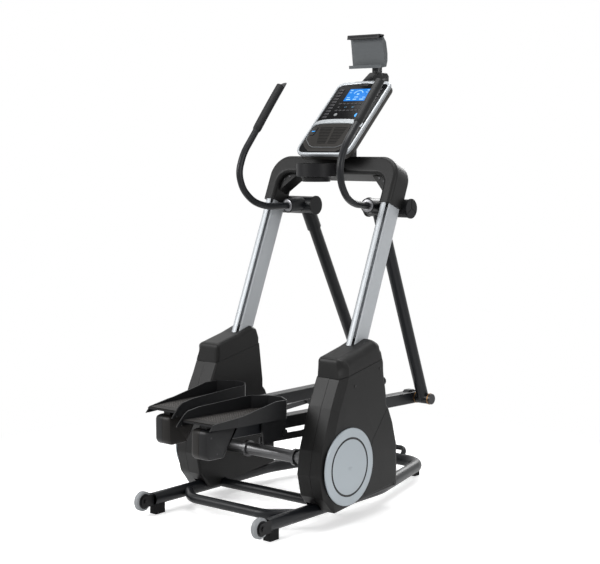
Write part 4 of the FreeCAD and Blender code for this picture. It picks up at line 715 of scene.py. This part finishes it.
POD = [(-1.351, 0.028), (-1.181, 0.028), (-1.254, -0.085), (-1.351, -0.085)]
POD_ROUND = [0.022, 0.006, 0.010, 0.028]
POD_STEPS = ((0.012, 0.098), (0.004, 0.1005), (0.0, 0.108), (0.0, 0.1375), (0.0014, 0.1382), (0.0, 0.1389),
             (0.0, 0.166), (0.004, 0.1745), (0.012, 0.178))
SPLIT_STEP = 4
pod_outline = arc_corners(POD, POD_ROUND, 8)
corners, faces = moulding(pod_outline, POD_STEPS)
inner_half = SPLIT_STEP * len(pod_outline)
picks = [1 if i < inner_half else 0 for i in range(len(faces) - 2)] + [1, 0]
for name, side in SIDES:
    piece(f"{name}_pod", f"{name}_beam_body", corners, faces, [pedal_black, pod_brown],
          beam_place(name) @ Matrix.Diagonal((1, side, 1, 1)), [name + "_pod_cover"], picks=picks)

# ---- Console -----------------------------------------------------------------------------------
# A black housing with a silver rim, a gloss face with keys around a lit display, a speckled silver
# band, and a raised speaker panel with a slotted grille between two lit volume keys.
gloss_black = finish("gloss_black", (0.0025, 0.0025, 0.003), 0.22, scale=100, depth=0.01, cloud=0.03,
                     specular=0.05)
wear(moulded_black, "console_neck", "console_tray", "circuit_board")
wear(gloss_black, "console_face")
FACE_ANGLE = math.radians(43.8)
on_face = Matrix.Translation((CRANK_X + 0.462, 0, 1.558)) @ Matrix.Rotation(-FACE_ANGLE, 4, "Y")
rim_silver = finish("rim_silver", (0.40, 0.42, 0.44), 0.38, metal=0.25, scale=900, depth=0.04, cloud=0.05)
band_silver = finish("speckled_silver", (0.30, 0.32, 0.335), 0.42, metal=0.2, scale=420, depth=0.5, cloud=0.25)
panel_black = finish("panel_black", (0.019, 0.0175, 0.016), 0.38, scale=700, depth=0.10, cloud=0.10,
                     specular=0.12)
key_grey = finish("key_grey", (0.012, 0.0115, 0.014), 0.42, scale=700, depth=0.08, cloud=0.08, specular=0.18)
key_cyan = finish("key_cyan", (0.01, 0.07, 0.12), 0.4, light=(0.0, 0.05, 0.10))
key_blue = finish("key_blue", (0.02, 0.20, 0.50), 0.35, light=(0.02, 0.20, 0.50))
key_pale = finish("key_pale", (0.13, 0.135, 0.14), 0.4)
lcd_blue = finish("lcd_blue", (0.0, 0.03, 0.12), 0.4, scale=200, depth=0.01, cloud=0.10, specular=0.1,
                  light=(0.0, 0.19, 0.64))
lcd_pale = finish("lcd_pale", (0.10, 0.16, 0.22), 0.4, specular=0.1, light=(0.22, 0.50, 0.80))


def level_lift(up, left):
    return 0.0


def tile(outline, low, high, edge=0.001, lift=level_lift):
    """A raised plate on the face with a rounded edge. Points are up the face, then to the left side."""
    outline = [Vector(spot) for spot in outline]
    rings = []
    for inset, level in ((0.0, low), (0.0, high - edge), (edge * 0.3, high - edge * 0.3), (edge, high)):
        rings.append([(c.x + n.x * inset, c.y + n.y * inset, level + (lift(c.x, c.y) if level > low else 0.0))
                      for c, n in zip(outline, inward(outline))])
    corners, faces = skin(rings)
    faces.append(tuple(range(3 * len(outline), 4 * len(outline))))
    return corners, faces


def box_outline(up, left, long, wide, radius=0.002, steps=3):
    points = [(up - long / 2, left - wide / 2), (up + long / 2, left - wide / 2), (up + long / 2, left + wide / 2),
              (up - long / 2, left + wide / 2)]
    return arc_corners(points, radius, steps)


def on_console(name, parts, material, replaces=(), smooth=32):
    """Join tiles into one piece on the console."""
    corners, faces = joined(parts)
    piece(name, "frame", corners, faces, [material], on_face, replaces, smooth)


def circle(up, left, radius, sides=20):
    return [(up + radius * math.cos(2 * math.pi * k / sides), left + radius * math.sin(2 * math.pi * k / sides))
            for k in range(sides)]


LONG, WIDE = 0.220, 0.138
OUTER = [(-LONG, -WIDE), (LONG - 0.009, -WIDE), (LONG - 0.002, -0.05), (LONG, 0), (LONG - 0.002, 0.05),
         (LONG - 0.009, WIDE), (-LONG, WIDE)]
OUTER_ROUND = [0.052, 0.034, 0, 0, 0, 0.034, 0.052]
RIM_SIDE, RIM_TOP, RIM_ROLL = 0.0085, 0.014, 0.0040
rim_outline = arc_corners(OUTER, OUTER_ROUND, 8)
rim_normals = inward(rim_outline)


def rim_ring(level, inset, share=0.0):
    """The rim's outline at a level, set in evenly, and then by a share of the way to its inner edge."""
    ring = []
    for corner, normal in zip(rim_outline, rim_normals):
        width = RIM_SIDE if corner.x < LONG - 0.03 else RIM_TOP
        step = inset + (width - RIM_ROLL) * share
        ring.append((corner.x + normal.x * step, corner.y + normal.y * step, level))
    return ring


rings = [rim_ring(level, inset) for inset, level in (
    (-0.0008, -0.0120), (-0.0014, -0.0060), (-0.0014, 0.0), (0.0008, 0.0028), (RIM_ROLL, 0.0040))]
rings += [rim_ring(level, RIM_ROLL, share) for share, level in ((5 / 9, 0.0036), (8 / 9, 0.0016), (1, 0.0))]
corners, faces = skin(rings)
piece("console_rim", "frame", corners, faces, [rim_silver], on_face, smooth=40)

upper = [(-0.030, -0.126), (0.190, -0.122), (0.199, -0.060), (0.2015, 0), (0.199, 0.060), (0.190, 0.122),
         (-0.030, 0.126)]
on_console("upper_panel", [tile(arc_corners(upper, [0.004, 0.020, 0, 0, 0, 0.020, 0.004]), -0.001, 0.0012)],
           gloss_black)
on_console("display", [tile(box_outline(0.1345, 0, 0.074, 0.113), -0.001, 0.0018, 0.0004)], lcd_blue,
           ["console_screen"])
DIAL_AT, DIAL_RADIUS, DIAL_WIDE, DIAL_STEPS = 0.139, 0.024, 0.0045, 12
outer, inner = [], []
for step in range(DIAL_STEPS + 1):
    angle = math.radians(20 + 152 * step / DIAL_STEPS)
    for edge, radius in ((outer, DIAL_RADIUS), (inner, DIAL_RADIUS - DIAL_WIDE)):
        edge.append((DIAL_AT + radius * math.sin(angle), -radius * math.cos(angle) * 1.05))
pale = [tile(outer + inner[::-1], 0.0017, 0.0021, 0.0001)]
for up, left, long, wide in (
        (0.107, 0.035, 0.006, 0.022), (0.107, 0.002, 0.006, 0.018), (0.107, -0.034, 0.006, 0.022),
        (0.119, 0.040, 0.004, 0.016), (0.121, 0.0, 0.005, 0.020), (0.119, -0.040, 0.004, 0.016),
        (0.163, 0.043, 0.005, 0.012), (0.163, -0.043, 0.005, 0.012), (0.150, -0.042, 0.004, 0.010),
        (0.148, 0.043, 0.004, 0.010), (0.139, 0.0, 0.009, 0.012)):
    pale.append(tile(box_outline(up, left, long, wide, 0.0008, 2), 0.0017, 0.0021, 0.0001))
on_console("display_segments", pale, lcd_pale)


def key_shape(long, wide, height):
    return tile(box_outline(0, 0, long, wide, 0.0016, 2), 0, height, 0.0007)


def keys(name, shape, columns, rows, pitch, up, left, material):
    mesh = rows_of(name, shape, columns, rows, pitch, material)
    mesh.transform(on_face @ Matrix.Translation((up, left, 0.0010)))
    fit(name, "frame", mesh)


for label, left in (("left", 0.100), ("right", -0.100)):
    keys(f"{label}_level_keys", key_shape(0.0130, 0.024, 0.0016), 10, 1, (0.0185, 0), 0.0815, left, key_grey)
for label, wide, count, pitch, up in (("top", 0.0150, 7, 0.0205, 0.0800), ("low", 0.0150, 7, 0.0205, 0.0390),
                                      ("middle", 0.0110, 4, 0.0400, 0.0590)):
    keys(f"{label}_row_keys", key_shape(0.0085, wide, 0.0014), 1, count, (0, pitch), up, 0, key_grey)
keys("cyan_keys", key_shape(0.0075, 0.0110, 0.0014), 1, 2, (0, 0.0380), 0.0590, 0.003, key_cyan)
on_console("round_key", [tile(circle(0.014, 0.050, 0.0085), 0, 0.0026)], key_pale)
on_console("start_key", [tile(circle(0.010, -0.063, 0.0115), 0, 0.0026)], key_blue)


BULGE = 0.015


def bulge(up, left):
    """The lower panel stands out below the band and falls away towards its sides and bottom."""
    along = max(0.0, min(1.0, (up + 0.190) / 0.130))
    across = max(0.0, 1 - (abs(left) / 0.122) ** 4)
    return BULGE * along ** 1.2 * across ** 0.5


PANEL_ROWS, PANEL_COLUMNS, PANEL_HALF = 30, 32, 0.126
TAPER_FROM, TAPER_LONG = -0.150, 0.052
corners, faces = [], []
for row in range(PANEL_ROWS + 1):
    up = -0.205 + 0.150 * row / PANEL_ROWS
    half = PANEL_HALF - 0.052 * (max(0.0, TAPER_FROM - up) / TAPER_LONG) ** 1.5
    for k in range(PANEL_COLUMNS + 1):
        left = half - 2 * half * k / PANEL_COLUMNS
        corners.append((up, left, 0.0012 + bulge(up, left)))
for row in range(PANEL_ROWS):
    for k in range(PANEL_COLUMNS):
        a = row * (PANEL_COLUMNS + 1) + k
        faces.append((a, a + 1, a + PANEL_COLUMNS + 2, a + PANEL_COLUMNS + 1))
on_console("speaker_panel", [(corners, faces)], panel_black, smooth=50)

BAND_HALF, BAND_STEPS, BAND_POINTS = 0.127, 24, 6
corners, faces = [], []
for step in range(BAND_STEPS + 1):
    left = BAND_HALF - 2 * BAND_HALF * step / BAND_STEPS
    bow = (left / BAND_HALF) ** 2
    top, bottom = -0.027 - 0.006 * bow - 0.010 * bow ** 3, -0.055 - 0.004 * bow - 0.008 * bow ** 3
    out = BULGE * max(0.0, 1 - bow ** 2) ** 0.5
    corners += [(top, left, 0.0006), (top - 0.0012, left, 0.0040 + out * 0.80),
                ((top * 2 + bottom) / 3, left, 0.0042 + out * 0.90), (bottom + 0.0008, left, 0.0042 + out),
                (bottom, left, 0.0030 + out), (bottom + 0.0005, left, 0.0)]
for step in range(BAND_STEPS):
    for k in range(BAND_POINTS - 1):
        a = step * BAND_POINTS + k
        faces.append((a, a + BAND_POINTS, a + BAND_POINTS + 1, a + 1))
on_console("silver_band", [(corners, faces)], band_silver, smooth=45)

trace = [(-0.112, 0.1245), (-0.140, 0.116), (-0.172, 0.084), (-0.1830, 0.062), (-0.1840, 0.0), (-0.1830, -0.062),
         (-0.172, -0.084), (-0.140, -0.116), (-0.112, -0.1245)]
trim_grey = finish("trim_grey", (0.10, 0.105, 0.11), 0.35, metal=0.3)
inner = [(up + (0.0026 if abs(left) < 0.09 else 0.0012), left * (0.985 if abs(left) > 0.06 else 1))
         for up, left in trace]
on_console("panel_trim", [tile(trace + inner[::-1], 0.0, 0.0034, 0.0005, lift=bulge)], trim_grey)
GRILLE_ROWS, GRILLE_PITCH, SLOT_HALF, SLOT_STEPS = 11, 0.0080, 0.0015, 8
slots, dots = [], []
for row in range(GRILLE_ROWS):
    up = -0.078 - row * GRILLE_PITCH
    half = 0.070 - 0.0021 * row
    for first, last in ((half, 0.006), (-0.006, -half)):
        rings = []
        for k in range(SLOT_STEPS + 1):
            left = first + (last - first) * k / SLOT_STEPS
            level = bulge(up, left) + 0.0013
            rings.append([(up - SLOT_HALF, left, level - 0.0003), (up - SLOT_HALF, left, level + 0.0006),
                          (up + SLOT_HALF, left, level + 0.0006), (up + SLOT_HALF, left, level - 0.0003)])
        corners, faces = skin(rings)
        slots.append((corners, faces + [(0, 1, 2, 3), tuple(range(4 * SLOT_STEPS, 4 * SLOT_STEPS + 4))]))
    dots.append(tile(circle(up + 0.004, 0.0, 0.0018, 8), 0.0, 0.0014 + bulge(up, 0), 0.0004))
# The grille's slots are not cut through. Black bars stand on the panel in their place, as painted shade for the
# dark inside the openings. The same black is the painted shade in the rim's parting gap.
painted_gap_shade = finish("painted_gap_shade", (0.002, 0.002, 0.002), 0.7, specular=0.1)
on_console("grille_slots", slots, painted_gap_shade)
dot_grey = finish("dot_grey", (0.34, 0.34, 0.34), 0.5)
on_console("grille_dots", dots, dot_grey)
for label, left in (("minus", 0.100), ("plus", -0.100)):
    well = arc_corners([(-0.072, left - 0.021), (-0.072, left + 0.021), (-0.118, left + 0.013),
                        (-0.118, left - 0.013)], 0.008, 4)
    on_console(f"{label}_key_well", [tile(well, 0.0, 0.0016, 0.0006, lift=bulge)], gloss_black)
    bars = [tile(box_outline(-0.095, left, 0.0035, 0.016, 0.0008, 2), 0.001, 0.0034, 0.0004, lift=bulge)]
    if label == "plus":
        bars.append(tile(box_outline(-0.095, left, 0.016, 0.0035, 0.0008, 2), 0.001, 0.0034, 0.0004, lift=bulge))
    on_console(f"{label}_sign", bars, key_blue)

# ---- Console's parting line ---------------------------------------------------------------------
# The rim meets the housing in a dark line, a black band that is painted shade for the gap between them, and the
# housing's flanks are a lighter brown-grey.
rings = [rim_ring(level, inset) for inset, level in (
    (0.0, -0.0062), (-0.0018, -0.0064), (-0.0018, -0.0078), (0.0, -0.0080))]
corners, faces = skin(rings)
piece("rim_line", "frame", corners, faces, [painted_gap_shade], on_face)
flank_grey = finish("flank_grey", (0.030, 0.028, 0.026), 0.45, scale=500, depth=0.07, cloud=0.10, specular=0.25)
wear(flank_grey, "console_housing")

# ---- Tablet holder -----------------------------------------------------------------------------
# A grey back plate with a black jaw that slides up to take a tablet, on a round post in a hooded foot.
plate_grey = finish("plate_grey", (0.085, 0.092, 0.097), 0.5, scale=700, depth=0.10, cloud=0.08, specular=0.3)
wear(moulded_black, "tablet_jaw")
wear(plate_grey, "tablet_back")
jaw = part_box("tablet_jaw")
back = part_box("tablet_back")
jaw_rear, jaw_top, plate_rear = jaw[0][0], jaw[1][2], back[0][0]
profile = [(jaw_rear - 0.0005, jaw_top - 0.017), (jaw_rear + 0.0035, jaw_top - 0.017),
           (jaw_rear + 0.0050, jaw_top - 0.0075), (plate_rear + 0.024, jaw_top - 0.0075),
           (plate_rear + 0.026, jaw_top + 0.0005), (jaw_rear + 0.0020, jaw_top + 0.0015)]
corners, faces = moulding(arc_corners(profile, [0.001, 0.001, 0.002, 0.001, 0.003, 0.003], 3),
                          ((0.0012, -0.0835), (0.0, -0.0822), (0.0, 0.0822), (0.0012, 0.0835)))
piece("jaw_cap", "jaw_body", corners, faces, [moulded_black])
POST_X = CRANK_X + 0.696
POST_SIDES = 40
POST = ((0.024, 1.7335), (0.0262, 1.7345), (0.0262, 1.7440), (0.0235, 1.7470), (0.0220, 1.7480), (0.0220, 1.8200),
        (0.0200, 1.8230))
corners, faces = skin(turned(POST, POST_SIDES))
faces += [tuple(range(POST_SIDES)), tuple(range(len(corners) - POST_SIDES, len(corners)))]
post_grey = finish("post_grey", (0.018, 0.019, 0.021), 0.34, scale=500, depth=0.05, cloud=0.08, specular=0.4)
piece("tablet_post", "frame", corners, faces, [post_grey], Matrix.Translation((POST_X, 0, 0)),
      smooth=35)
HOOD = [(0.596, 1.690), (0.612, 1.704), (0.628, 1.719), (0.672, 1.7495), (0.736, 1.7490), (0.749, 1.736),
        (0.748, 1.700), (0.700, 1.664), (0.640, 1.668)]
hood = moulding(arc_corners(HOOD, [0.004, 0.01, 0.01, 0.008, 0.006, 0.006, 0.01, 0.01, 0.01], 3),
                ((0.007, -0.026), (0.002, -0.0245), (0.0, -0.020), (0.0, 0.020), (0.002, 0.0245), (0.007, 0.026)))
link_turns = [2 * math.pi * k / 24 for k in range(24)]
plate_link = skin([[(x, 0.012 * math.cos(turn), 1.812 + 0.010 * math.sin(turn)) for turn in link_turns]
                   for x in (0.650, 0.690)])
corners, faces = joined([hood, plate_link])
piece("tablet_hood", "frame", corners, faces, [moulded_black], Matrix.Translation((CRANK_X, 0, 0)),
      ["tablet_stand"])
